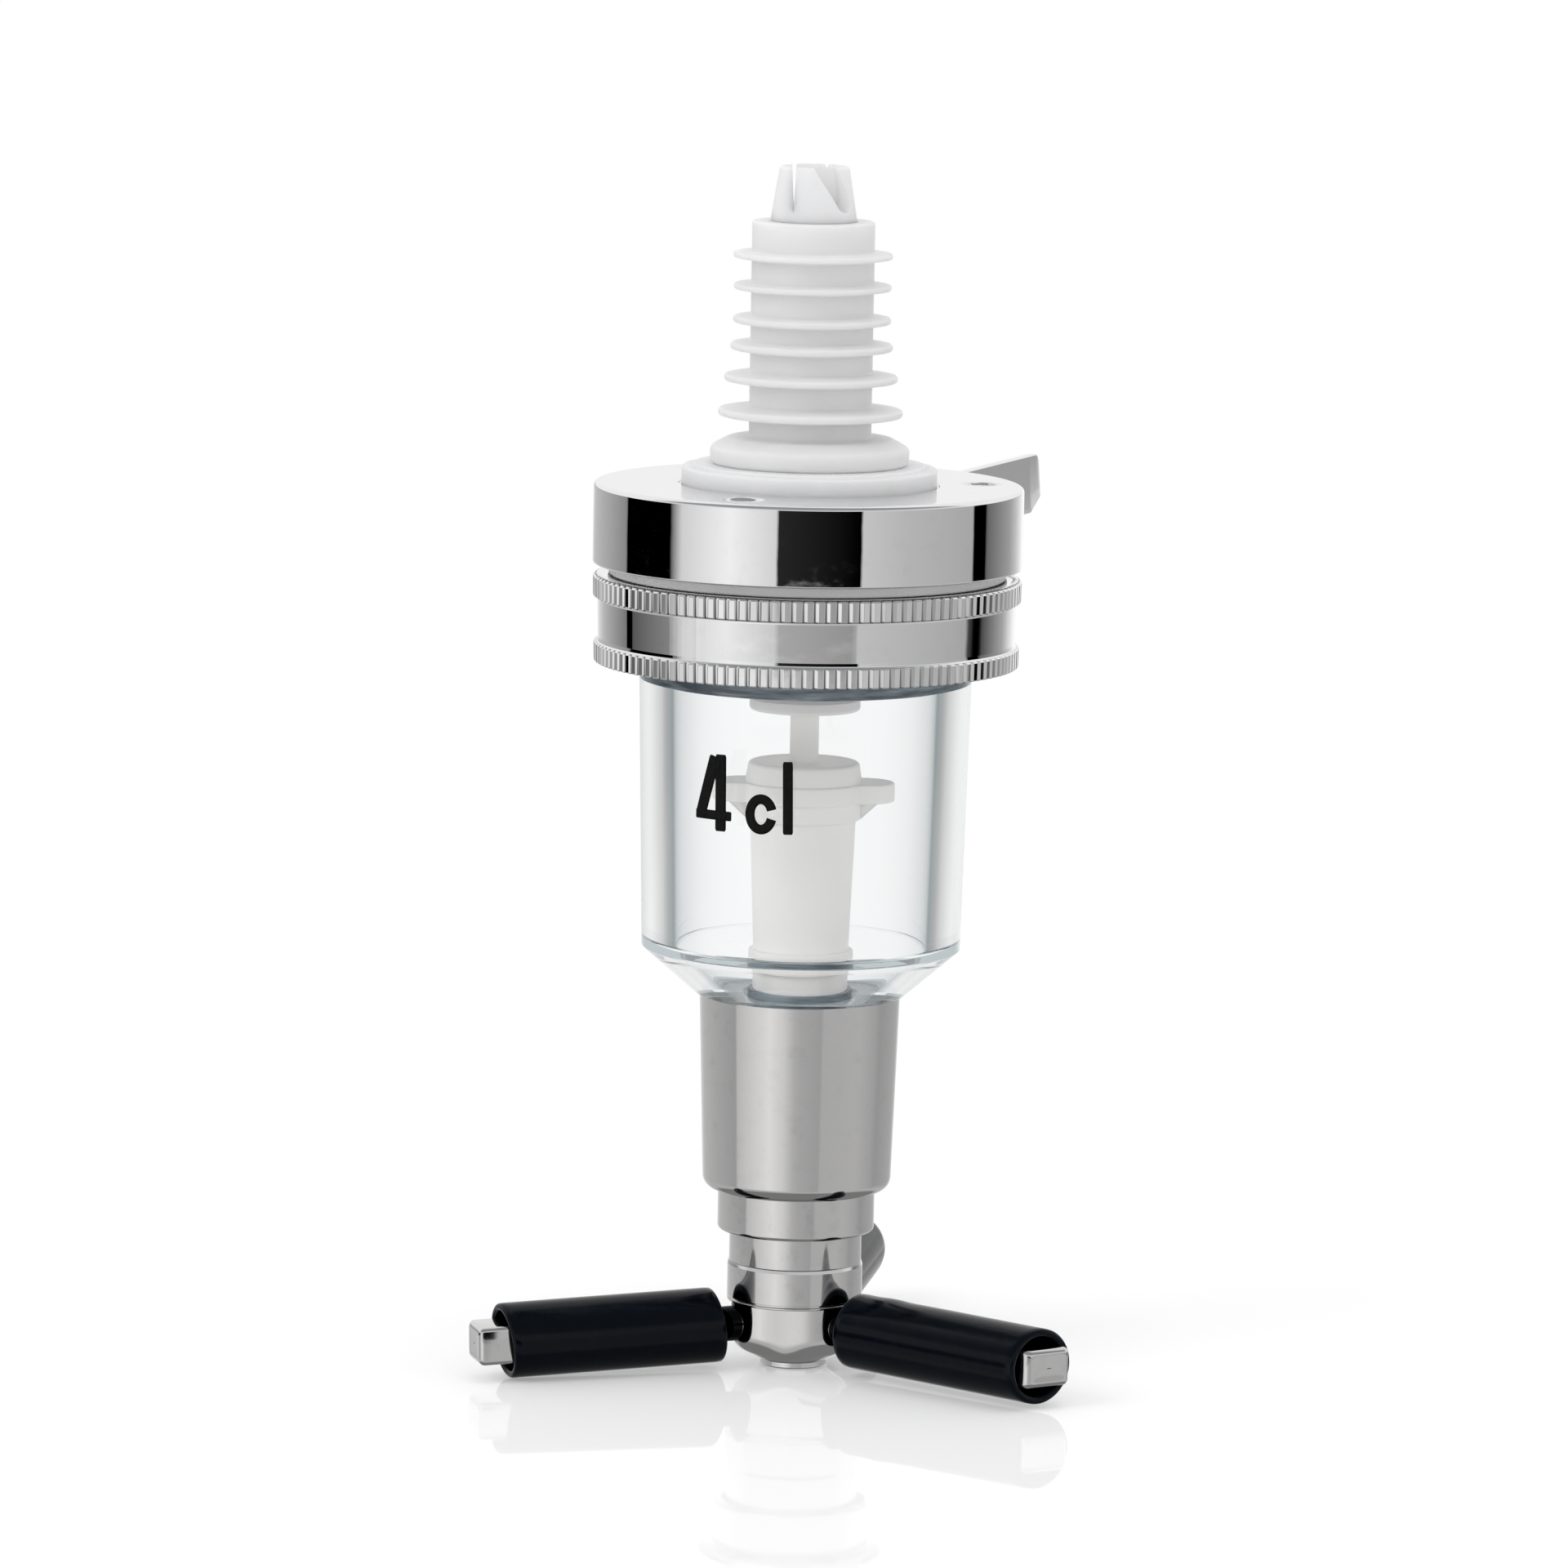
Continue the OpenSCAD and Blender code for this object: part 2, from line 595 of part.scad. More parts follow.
module cap_screws() color([0.75, 0.75, 0.75]) at_screws() difference() {
    union() {
        translate([0, 0, head_z]) cylinder(r = screw_r, h = cap_top_z - dimple_h - screw_head_h - head_z);
        translate([0, 0, cap_top_z - dimple_h - screw_head_h]) cylinder(r = screw_head_r, h = screw_head_h);
    }
    translate([-screw_head_r - cut, -slot_w / 2, cap_top_z - dimple_h - slot_d])
        cube([2 * (screw_head_r + cut), slot_w, slot_d + cut]);
}

module cap_gasket() color([0.82, 0.82, 0.8]) difference() {
    tube(gasket_r, gasket_bore_r, collar_top_z, cap_z);
    at_screws() translate([0, 0, collar_top_z - cut]) cylinder(r = screw_r, h = gasket_h + 2 * cut);
}

// Toothed outline of a knurl
module knurl_outline(r) polygon([
    for (i = [0 : knurl_teeth - 1])
        for (p = [
            [knurl_depth, 0], [knurl_depth, knurl_groove_share],
            [0, knurl_groove_share + knurl_flank_share], [0, 1 - knurl_flank_share]
        ])
            let (a = 360 * (i + p[1]) / knurl_teeth) [(r - p[0]) * cos(a), (r - p[0]) * sin(a)]
]);

module knurl(r, low, h) translate([0, 0, low]) linear_extrude(h) difference() {
    knurl_outline(r);
    circle(r = collar_bore_r + collar_wall / 2);
}

module collar() color([0.78, 0.78, 0.78]) union() {
    difference() {
        translate([0, 0, collar_z]) cylinder(r = band_r, h = collar_top_z - collar_z);
        translate([0, 0, flange_z]) cylinder(r = collar_bore_r, h = collar_top_z - flange_z + cut);
        translate([0, 0, collar_z - cut]) cylinder(r = collar_lip_r, h = collar_lip_h + 2 * cut);
    }
    knurl(band_r + knurl_low_proud, collar_z, knurl_low_h);
    knurl(band_r + knurl_top_proud, knurl_top_z, knurl_top_h);
}

module inlet_head() color([0.9, 0.9, 0.88]) difference() {
    turned([
        [port_r, inlet_z], [head_boss_r, inlet_z], [head_boss_r, head_z], [collar_bore_r, head_z],
        [collar_bore_r, collar_top_z], [head_neck_r, collar_top_z], [head_neck_r, cork_z],
        [nozzle_r, cork_z], [nozzle_r, cap_z], [port_r, cap_z]
    ]);
    at_screws() translate([0, 0, head_z - cut]) cylinder(r = screw_r, h = collar_top_z - head_z + 2 * cut);
}

// The seal's skirt follows the tapered wall of the chamber
module chamber_seal() color([0.35, 0.38, 0.42])
    let (top_r = chamber_top_r - chamber_wall - seal_skirt_gap,
         low_r = top_r - chamber_draft * seal_skirt_h / (flange_top_z - corner_z - chamber_floor_rise))
        turned([
            [head_boss_r, flange_top_z], [top_r - seal_skirt_wall, flange_top_z],
            [low_r - seal_skirt_wall, flange_top_z - seal_skirt_h], [low_r, flange_top_z - seal_skirt_h],
            [top_r, flange_top_z], [chamber_flange_r, flange_top_z], [chamber_flange_r, head_z], [head_boss_r, head_z]
        ]);

module chamber() color([0.8, 0.88, 0.92, 0.35]) turned([
    [throat_r, foot_z], [sleeve_step_r, foot_z], [sleeve_step_r, chamber_z], [chamber_foot_r, chamber_z],
    [chamber_r, corner_z], [chamber_top_r, flange_z], [chamber_flange_r, flange_z],
    [chamber_flange_r, flange_top_z], [chamber_top_r - chamber_wall, flange_top_z],
    [chamber_r - chamber_wall, corner_z + chamber_floor_rise], [throat_r, chamber_z + throat_rise]
]);

module sleeve_seal() color([0.3, 0.3, 0.3]) tube(sleeve_step_r, throat_r, seat_top_z, foot_z);

module lower_sleeve() color([0.75, 0.74, 0.73]) turned(concat(
    [[guide_spigot_r, sleeve_z]],
    arc(sleeve_low_r - sleeve_edge, sleeve_z + sleeve_edge, sleeve_edge, -90, 0),
    [
        [sleeve_top_r, chamber_z], [sleeve_step_r, chamber_z], [sleeve_step_r, seat_z],
        [sleeve_bore_r, seat_z], [sleeve_bore_r, sleeve_z + sleeve_floor], [guide_spigot_r, sleeve_z + sleeve_floor]
    ]
));

module outlet_seat() color([0.88, 0.88, 0.86]) turned([
    [seat_hole_r, seat_z - seat_nozzle_l], [seat_nozzle_r, seat_z - seat_nozzle_l], [seat_nozzle_r, seat_z],
    [sleeve_step_r, seat_z], [sleeve_step_r, seat_top_z], [seat_hole_r, seat_top_z]
]);

module guide_nut() color([0.72, 0.71, 0.7]) turned(concat(
    [[bush_r, guide_z]],
    arc(guide_nut_r - guide_edge, guide_z + guide_edge, guide_edge, -90, 0),
    [[guide_nut_r, sleeve_z], [guide_spigot_r, sleeve_z], [guide_spigot_r, stop_z], [bush_r, stop_z]]
));

module guide_bush() color([0.85, 0.84, 0.8]) tube(bush_r, neck_r + bush_clear, guide_z + guide_edge, stop_z);

// The spring's wire: closed end turns, even pitch between them
spring_r = (cup_r + sleeve_bore_r) / 2;
spring_low = cup_z + spring_wire_r;
spring_rise = seat_z - cup_z - 2 * spring_wire_r;
spring_sides = 8;
spring_turn_steps = 24;
spring_steps = spring_turns * spring_turn_steps;
spring_end = 2 * spring_wire_r;
spring_pitch = (spring_rise - 2 * spring_end) / (spring_turns - 2);
function spring_z(turn) = spring_low
    + spring_end * min(turn, 1)
    + spring_pitch * max(0, min(turn - 1, spring_turns - 2))
    + spring_end * max(0, turn - spring_turns + 1);

module return_spring() color([0.6, 0.6, 0.6]) polyhedron(
    points = [
        for (i = [0 : spring_steps])
            for (j = [0 : spring_sides - 1])
                let (a = 360 * i / spring_turn_steps, b = 360 * j / spring_sides,
                     r = spring_r + spring_wire_r * cos(b))
                    [r * cos(a), r * sin(a), spring_z(i / spring_turn_steps) + spring_wire_r * sin(b)]
    ],
    faces = concat(
        [[for (j = [spring_sides - 1 : -1 : 0]) j]],
        [
            for (i = [0 : spring_steps - 1])
                for (j = [0 : spring_sides - 1])
                    let (k = (j + 1) % spring_sides)
                        [i * spring_sides + j, i * spring_sides + k,
                         (i + 1) * spring_sides + k, (i + 1) * spring_sides + j]
        ],
        [[for (j = [0 : spring_sides - 1]) spring_steps * spring_sides + j]]
    )
);

module spout_tip() color([0.7, 0.7, 0.7]) tube(tip_r, outlet_r, 0, tip_l);

// The bowl's slope runs from the tip's hole to where it meets the round
bowl_z = hub_z + (hub_r - bowl_round + bowl_round * sin(bowl_angle) - tip_r) * tan(bowl_angle)
    + bowl_round * cos(bowl_angle);

module lever_spider() color([0.74, 0.73, 0.72]) difference() {
    union() {
        turned(concat(
            [[0, hub_z], [tip_r, hub_z]],
            arc(hub_r - bowl_round, bowl_z, bowl_round, bowl_angle - 90, 0),
            [[hub_r, hub_nut_z], [0, hub_nut_z]]
        ));
        for (i = [0 : 2]) at_arm(i) {
            rotate([0, 90, 0]) cylinder(r = arm_root_r, h = grip_start + arm_root_cover, $fn = 48);
            translate([grip_start + arm_root_cover, 0, 0]) rotate([90, 0, 90])
                linear_extrude(arm_reach - grip_start - arm_root_cover) bar_outline();
        }
    }
    translate([0, 0, hub_z - cut]) cylinder(r = tip_r, h = hub_h + 2 * cut);
    translate([0, 0, hub_z + hub_floor]) cylinder(r = neck_spigot_r, h = hub_h);
}

// Section of an arm bar with rounded edges
module bar_outline() {
    square([arm_w - 2 * arm_edge, arm_h], center = true);
    square([arm_w, arm_h - 2 * arm_edge], center = true);
    for (x = [-1, 1], y = [-1, 1])
        translate([x * (arm_w / 2 - arm_edge), y * (arm_h / 2 - arm_edge)]) circle(r = arm_edge, $fn = 24);
}

module hub_nut() color([0.76, 0.75, 0.74]) turned([
    [neck_spigot_r, hub_nut_z], [neck_r + hub_nut_proud, hub_nut_z],
    [neck_r + hub_nut_proud, hub_nut_z + groove_w], [neck_r + hub_nut_proud - groove_w, hub_nut_z + groove_w],
    [neck_r + hub_nut_proud - groove_w, hub_nut_z + 2 * groove_w], [neck_r + hub_nut_proud, hub_nut_z + 2 * groove_w],
    [neck_r + hub_nut_proud, neck_z], [neck_spigot_r, neck_z]
]);

module spout_neck() color([0.77, 0.76, 0.75]) turned([
    [tip_r, hub_z + hub_floor], [neck_spigot_r, hub_z + hub_floor], [neck_spigot_r, neck_z], [neck_r, neck_z],
    [neck_r, stop_z], [stop_r, stop_z], [stop_r, cup_z], [cup_r, cup_z], [cup_r, cup_top_z],
    [cup_bore_r, cup_top_z], [cup_bore_r, cup_floor_z], [cup_bore_r - wing_t, cup_floor_z],
    [outlet_r + bush_wall, cup_floor_z - wing_t], [outlet_r + bush_wall, tip_l], [tip_r, tip_l]
]);

module plunger_stem() color([0.7, 0.7, 0.7]) {
    translate([0, 0, cup_floor_z]) cylinder(r = stem_r, h = plug_z + tube_floor - stem_r / 2 - cup_floor_z);
    intersection() {
        translate([0, 0, cup_floor_z]) cylinder(r = cup_bore_r, h = wing_h);
        for (a = ARM_ANGLES) rotate([0, 0, a]) translate([0, -wing_t / 2, cup_floor_z]) cube([neck_r, wing_t, wing_h]);
    }
}

module outlet_seal() color([0.15, 0.15, 0.15]) tube(outlet_seal_r, stem_r, seat_top_z, plug_z);

module plunger_tube() color([0.93, 0.91, 0.88]) difference() {
    turned([
        [0, plug_z], [tube_low_r, plug_z], [tube_low_r, base_collar_z], [base_collar_r, base_collar_z],
        [base_collar_r, tube_z], [tube_low_r, tube_z], [tube_top_r, tube_top_z],
        [tube_top_r - tube_wall, tube_top_z], [tube_low_r - tube_wall, plug_z + tube_floor],
        [0, plug_z + tube_floor]
    ]);
    translate([0, 0, plug_z - cut]) cylinder(r = stem_r, h = tube_floor - stem_r / 2 + cut);
}

// Outline of the flange with its two wings
module wing_outline() {
    circle(r = vent_flange_r);
    for (side = [-1, 1]) translate([side * (vent_wing_reach - vent_wing_r), 0]) circle(r = vent_wing_r);
    square([2 * (vent_wing_reach - vent_wing_r), 2 * vent_wing_r], center = true);
}

// Turn of the wings about the axis, in degrees
wing_angle = 10;

module vent_cap() color([0.93, 0.91, 0.88]) difference() {
    union() {
        rotate([0, 0, wing_angle]) {
            translate([0, 0, vent_flange_z]) linear_extrude(vent_flange_h) wing_outline();
            // a web under each wing runs down to the skirt
            for (side = [0, 1]) mirror([side, 0, 0]) translate([0, wing_t / 2, 0]) rotate([90, 0, 0])
                linear_extrude(wing_t) polygon([
                    [tube_top_r, vent_skirt_z], [tube_top_r + vent_skirt_wall, vent_skirt_z],
                    [vent_wing_reach - vent_wing_r / 2, vent_flange_z],
                    [vent_wing_reach - vent_wing_r / 2, vent_flange_z + vent_flange_h / 2],
                    [tube_top_r, vent_flange_z + vent_flange_h / 2]
                ]);
        }
        translate([0, 0, vent_skirt_z]) cylinder(r = tube_top_r + vent_skirt_wall, h = vent_skirt_h + vent_flange_h / 2);
        translate([0, 0, vent_dome_z]) cylinder(r1 = vent_dome_r, r2 = vent_dome_r - vent_dome_taper, h = vent_dome_h);
    }
    translate([0, 0, vent_skirt_z - cut]) cylinder(r = tube_top_r, h = tube_top_z - vent_skirt_z + cut);
    translate([0, 0, vent_top_z - rod_socket]) cylinder(r = rod_r, h = rod_socket + cut);
}

module valve_rod() color([0.92, 0.9, 0.87])
    translate([0, 0, vent_top_z - rod_socket]) cylinder(r = rod_r, h = rod_socket + rod_l + valve_h);

module inlet_valve() color([0.93, 0.91, 0.88]) tube(valve_r, rod_r, valve_z, valve_seal_z);

module inlet_valve_seal() color([0.85, 0.85, 0.83])
    translate([0, 0, valve_seal_z]) cylinder(r = valve_r, h = valve_seal_h);

module grip(i) color([0.04, 0.05, 0.07]) at_arm(i) translate([grip_start, 0, 0]) rotate([0, 90, 0])
    difference() {
        cylinder(r = grip_r, h = grip_lengths[i], $fn = 64);
        translate([0, 0, -cut]) cylinder(r = grip_bore_r, h = grip_lengths[i] + 2 * cut, $fn = 64);
    }

module grip_left() grip(0);
module grip_right() grip(1);
module grip_rear() grip(2);

bottle_cork();
inlet_nozzle();
seat_flange();
top_cap();
cap_screws();
cap_gasket();
collar();
inlet_head();
chamber_seal();
chamber();
sleeve_seal();
lower_sleeve();
outlet_seat();
guide_nut();
guide_bush();
return_spring();
spout_tip();
lever_spider();
hub_nut();
spout_neck();
plunger_stem();
outlet_seal();
plunger_tube();
vent_cap();
valve_rod();
inlet_valve();
inlet_valve_seal();
grip_left();
grip_right();
grip_rear();
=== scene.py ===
"""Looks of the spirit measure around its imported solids. Sizes are in millimetres and become metres in piece()."""

import math

import bmesh
import bpy
import numpy as np
from mathutils import Matrix, Vector


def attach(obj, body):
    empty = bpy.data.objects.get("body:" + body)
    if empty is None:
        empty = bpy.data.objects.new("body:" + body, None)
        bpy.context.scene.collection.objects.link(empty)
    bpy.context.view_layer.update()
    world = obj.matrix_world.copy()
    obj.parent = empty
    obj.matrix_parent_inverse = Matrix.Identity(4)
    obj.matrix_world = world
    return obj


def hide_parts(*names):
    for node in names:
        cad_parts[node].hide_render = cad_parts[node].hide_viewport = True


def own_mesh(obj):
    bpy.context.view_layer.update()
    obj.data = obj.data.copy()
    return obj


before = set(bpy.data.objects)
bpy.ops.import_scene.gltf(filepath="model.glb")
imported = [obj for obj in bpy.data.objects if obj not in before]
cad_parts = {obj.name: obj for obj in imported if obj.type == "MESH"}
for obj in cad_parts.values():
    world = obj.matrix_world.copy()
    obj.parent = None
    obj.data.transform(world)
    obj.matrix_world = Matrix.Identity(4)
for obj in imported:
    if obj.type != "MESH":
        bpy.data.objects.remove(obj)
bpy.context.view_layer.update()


# --- Camera -------------------------------------------
# A long lens a little over a metre away, ten degrees round to the right of the
# gap between the two front arms and looking slightly down.
CAMERA_TURN, CAMERA_TILT, CAMERA_ROLL = math.radians(10.0), math.radians(82.0), math.radians(1.05)
CAMERA_DISTANCE, CAMERA_HEIGHT = 1.190, 0.247

camera_data = bpy.data.cameras.new("camera")
camera_data.sensor_width = 36.0
camera_data.lens = 204.0
camera_data.shift_x = -0.0125
camera_data.clip_start, camera_data.clip_end = 0.05, 50.0
camera = bpy.data.objects.new("camera", camera_data)
bpy.context.scene.collection.objects.link(camera)
camera_place = (CAMERA_DISTANCE * math.sin(CAMERA_TURN), -CAMERA_DISTANCE * math.cos(CAMERA_TURN), CAMERA_HEIGHT)
camera.matrix_world = (
    Matrix.Translation(camera_place) @ Matrix.Rotation(CAMERA_TURN, 4, "Z")
    @ Matrix.Rotation(CAMERA_TILT, 4, "X") @ Matrix.Rotation(CAMERA_ROLL, 4, "Z"))
bpy.context.scene.camera = camera
bpy.context.scene.view_settings.view_transform = "Standard"


# --- Studio -------------------------------------------
# White sweep, two soft lamps and a ring of white and black cards. The cards
# show only in metal and clear plastic; the camera sees plain white.
class Value:
    """An output in a shader tree. Arithmetic on it adds Math nodes, and node() adds any other node."""

    def __init__(self, tree, socket=None):
        self.tree, self.socket = tree, socket

    def node(self, kind, settings=None, inputs=None, output=0):
        """Adds a node: its settings first, with a ramp's stops among them, then its inputs, as values or links."""
        made = self.tree.nodes.new("ShaderNode" + kind)
        for name, value in (settings or {}).items():
            if name == "stops":
                points = made.color_ramp.elements
                while len(points) < len(value):
                    points.new(0.5)
                for point, (place, grey) in zip(points, value):
                    point.position = place
                    point.color = (*((grey,) * 3 if np.isscalar(grey) else grey), 1.0)
            else:
                setattr(made, name, value)
        for key, value in (inputs or {}).items():
            self.feed(made.inputs[key], value)
        return Value(self.tree, made.outputs[output])

    def feed(self, socket, value):
        """Links a Value to a socket, or sets a constant on it."""
        if isinstance(value, Value):
            self.tree.links.new(value.socket, socket)
        else:
            socket.default_value = value

    def maths(self, operation, *others):
        return self.node("Math", {"operation": operation}, dict(enumerate((self, *others))))

    def __add__(self, other): return self.maths("ADD", other)
    def __mul__(self, other): return self.maths("MULTIPLY", other)
    def __sub__(self, other): return self.maths("SUBTRACT", other)
    def __rsub__(self, other): return self.node("Math", {"operation": "SUBTRACT"}, {0: other, 1: self})
    def __truediv__(self, other): return self.maths("DIVIDE", other)
    __radd__, __rmul__ = __add__, __mul__


def ramp(value, *stops):
    """Colour or grey against a value, straight between its stops (place, colour)."""
    return value.node("ValToRGB", {"stops": stops}, {0: value})


def rise(value, low, high, form="LINEAR"):
    """Rise from 0 where a value is low to 1 where it is high: straight, or with soft ends as SMOOTHSTEP."""
    return value.node("MapRange", {"interpolation_type": form}, {"Value": value, "From Min": low, "From Max": high})


def blend(share, first, second):
    return share.node("Mix", {"data_type": "RGBA"}, {0: share, 6: first, 7: second}, 2)


world = bpy.data.worlds.new("studio")
bpy.context.scene.world = world
world.use_nodes = True
world.node_tree.nodes.clear()
sky = Value(world.node_tree)
# direction of a ray, turned so that X is the camera's right and -Y points at the camera
ray = sky.node("Mapping", {"vector_type": "POINT"},
               {"Vector": sky.node("TexCoord"), "Rotation": (0, 0, -CAMERA_TURN)})
ray_x, ray_y, ray_z = (ray.node("SeparateXYZ", inputs={0: ray}, output=axis) for axis in range(3))
around = ray_x.maths("ARCTAN2", 0.0 - ray_y) / (2 * math.pi) + 0.5

# brightness of the cards round the object, from straight behind it round by the left, the camera and the right: near
# the horizon three of them are black, a little lower two of these are thin posts, and the table hides their feet
HIGH_CARDS = [
    (-180, 1.0), (-162, 0.55), (-130, 0.38), (-114, 0.27), (-113, 0.0), (-78.5, 0.0), (-77.5, 0.15), (-71, 0.68),
    (-42, 0.95), (-16.6, 0.70), (-16, 0.02), (28.5, 0.0), (29.3, 0.60), (55, 0.50), (98.5, 0.42), (99.2, 0.0),
    (110.5, 0.0), (111.2, 0.14), (137, 0.36), (148, 0.58), (164, 1.0), (180, 1.0)]
MIDDLE_CARDS = [
    (-180, 1.0), (-150, 0.50), (-117.5, 0.20), (-116.8, 0.0), (-112, 0.0), (-111, 0.10), (-81.5, 0.24),
    (-80.5, 0.36), (-72, 0.70), (-45, 0.90), (-16.4, 0.62), (-15.8, 0.42), (26.5, 0.31), (27.2, 0.56), (98.5, 0.41),
    (99.5, 0.08), (105, 0.0), (111, 0.0), (112, 0.06), (138, 0.40), (150, 0.75), (162, 1.0), (180, 1.0)]
LOW_CARDS = [
    (-180, 0.9), (-150, 0.60), (-128, 0.56), (-79, 0.44), (-78, 0.66), (-34, 1.0), (-17, 0.82), (-5, 0.58),
    (3, 0.52), (26.5, 0.46), (27.5, 0.55), (76, 0.58), (100, 0.49), (110, 0.42), (122, 0.45), (155, 0.50), (180, 0.9)]
# what clear plastic passes on: white behind the object, blue-grey towards its sides
GLASS_GREY = (0.30, 0.345, 0.35)
THROUGH_CARDS = [
    (-180, 1.0), (-165, 0.95), (-154, 0.80), (-142, 0.62), (-134, 0.42), (-126, GLASS_GREY), (-105, GLASS_GREY),
    (-80, 0.8), (80, 0.8), (105, GLASS_GREY), (126, GLASS_GREY), (134, 0.42), (142, 0.62), (154, 0.80), (165, 0.95),
    (180, 1.0)]


def card_ring(cards):
    """Brightness round the horizon; a card's place is its direction in degrees to the right of the camera."""
    return ramp(around, *((degrees / 360 + 0.5, grey) for degrees, grey in cards))


def over(edge):
    """0 below an edge between two zones of the studio and 1 above it; its two ends are rises of a ray."""
    return rise(ray_z, *edge, "SMOOTHSTEP")


def light_path(value, name):
    return value.node("LightPath", output=name)


# what metal mirrors, from above down: on the far side a soft box and the backdrop and on the camera's side the room and
# its window, then the cards in three heights, the table and its shade
BACKDROP, SOFT_BOX = (0.91, 0.91, 0.91, 1), (0.90, 0.90, 0.90, 1)
WINDOW, ROOM = (0.70, 0.71, 0.72, 1), (0.30, 0.31, 0.32, 1)
TABLE, SHADE = (0.56, 0.56, 0.56, 1), (0.24, 0.24, 0.24, 1)
BOX_EDGE, WINDOW_EDGE, FAR_EDGE = (0.42, 0.55), (0.30, 0.42), (-0.10, 0.20)
CARDS_EDGE, HIGH_EDGE, MIDDLE_EDGE = (0.05, 0.09), (-0.124, -0.118), (-0.172, -0.162)
TABLE_EDGE, SHADE_EDGE = (-0.45, -0.30), (-0.60, -0.50)
camera_side, far_side = blend(over(WINDOW_EDGE), WINDOW, ROOM), blend(over(BOX_EDGE), BACKDROP, SOFT_BOX)
above = blend(rise(ray_y, *FAR_EDGE, "SMOOTHSTEP"), camera_side, far_side)
mirrored = blend(over(MIDDLE_EDGE), card_ring(LOW_CARDS), card_ring(MIDDLE_CARDS))
mirrored = blend(over(HIGH_EDGE), mirrored, card_ring(HIGH_CARDS))
mirrored = blend(over(CARDS_EDGE), mirrored, above)
mirrored = blend(over(TABLE_EDGE), TABLE, mirrored)
mirrored = blend(over(SHADE_EDGE), SHADE, mirrored)

# what clear plastic passes on is pale above and below its cards, and greyer straight down
PALE, PALE_FLOOR = (0.97, 0.98, 0.98, 1), (0.50, 0.54, 0.56, 1)
PALE_ABOVE, PALE_BELOW, PALE_FLOOR_EDGE = (0.20, 0.32), (-0.32, -0.20), (-0.70, -0.55)
passed = blend(over(PALE_BELOW), PALE, blend(over(PALE_ABOVE), card_ring(THROUGH_CARDS), PALE))
passed = blend(over(PALE_FLOOR_EDGE), PALE_FLOOR, passed)

# matt surfaces are lit evenly from the sides and from below, and less by the roof
SWEEP, ROOF, ROOF_EDGE = (1.0, 1.0, 1.01, 1), (0.62, 0.62, 0.63, 1), (0.20, 0.80)
light = blend(over(ROOF_EDGE), SWEEP, ROOF)
light = blend(light_path(sky, "Is Glossy Ray"), light, mirrored)
light = blend(light_path(sky, "Is Transmission Ray"), light, passed)
light = blend(light_path(sky, "Is Camera Ray"), light, (1, 1, 1, 1))
sky.feed(world.node_tree.nodes.new("ShaderNodeOutputWorld").inputs["Surface"],
         sky.node("Background", inputs={"Color": light, "Strength": 1.0}))


def lamp(name, place, aim, width, watts):
    """Soft rectangular lamp at place, turned towards aim, that metal doesn't mirror."""
    data = bpy.data.lights.new(name, "AREA")
    data.shape, data.size, data.energy = "SQUARE", width, watts
    made = bpy.data.objects.new(name, data)
    bpy.context.scene.collection.objects.link(made)
    made.location = place
    made.rotation_euler = (Vector(aim) - Vector(place)).to_track_quat("-Z", "Y").to_euler()
    made.visible_glossy = made.visible_transmission = False


lamp("lamp_left", (-0.75, -0.75, 0.85), (0, 0, 0.08), 0.6, 3.2)
lamp("lamp_top", (0.25, -0.1, 1.3), (0, 0, 0.06), 0.8, 2.2)

FLOOR_REACH, FLOOR_GREY, FLOOR_LIFT, FLOOR_GLOSS = 0.75, 0.86, 0.29, 0.18
FADE_START, FADE_END, FADED = 0.10, 0.26, 1.02
floor_data = bpy.data.meshes.new("floor")
corners = np.array([[-1, -1, 0], [1, -1, 0], [1, 1, 0], [-1, 1, 0]], float) * FLOOR_REACH
floor_data.from_pydata(corners.tolist(), [], [(0, 1, 2, 3)])
floor = bpy.data.objects.new("floor", floor_data)
bpy.context.scene.collection.objects.link(floor)
floor.visible_glossy = floor.visible_transmission = False
sheen = bpy.data.materials.new("floor_white")
sheen.use_nodes = True
sheen.node_tree.nodes.clear()
ground = Value(sheen.node_tree)
seen = light_path(ground, "Is Camera Ray")
matt = ground.node("BsdfDiffuse", inputs={"Color": (FLOOR_GREY, FLOOR_GREY, FLOOR_GREY, 1)})
lift = ground.node("Emission", inputs={"Color": (1, 1, 1, 1), "Strength": seen * FLOOR_LIFT})
gloss = ground.node("BsdfAnisotropic", inputs={"Color": (1, 1, 1, 1), "Roughness": 0.03})
near = ground.node("MixShader", inputs={
    0: FLOOR_GLOSS, 1: ground.node("AddShader", inputs={0: matt, 1: lift}), 2: gloss})
# away from the object the sweep fades into the white behind it
spot = ground.node("TexCoord", output="Object")
away = rise(spot.node("VectorMath", {"operation": "LENGTH"}, {0: spot}, 1), FADE_START, FADE_END, "SMOOTHSTEP") * seen
ground.feed(sheen.node_tree.nodes.new("ShaderNodeOutputMaterial").inputs["Surface"],
            ground.node("MixShader", inputs={0: away, 1: near, 2: ground.node("Emission", inputs={"Strength": FADED})}))
floor_data.materials.append(sheen)


# --- Spout tip, hub nut and neck ----------------------
# Turned brass with a slightly soft nickel-chrome plating. The tip is pressed
# into the hub, the nut clamps the hub on the neck, and the neck slides.
MM = 0.001
SIDES = 192
BEND_STEPS = 5
GUARD = 0.03


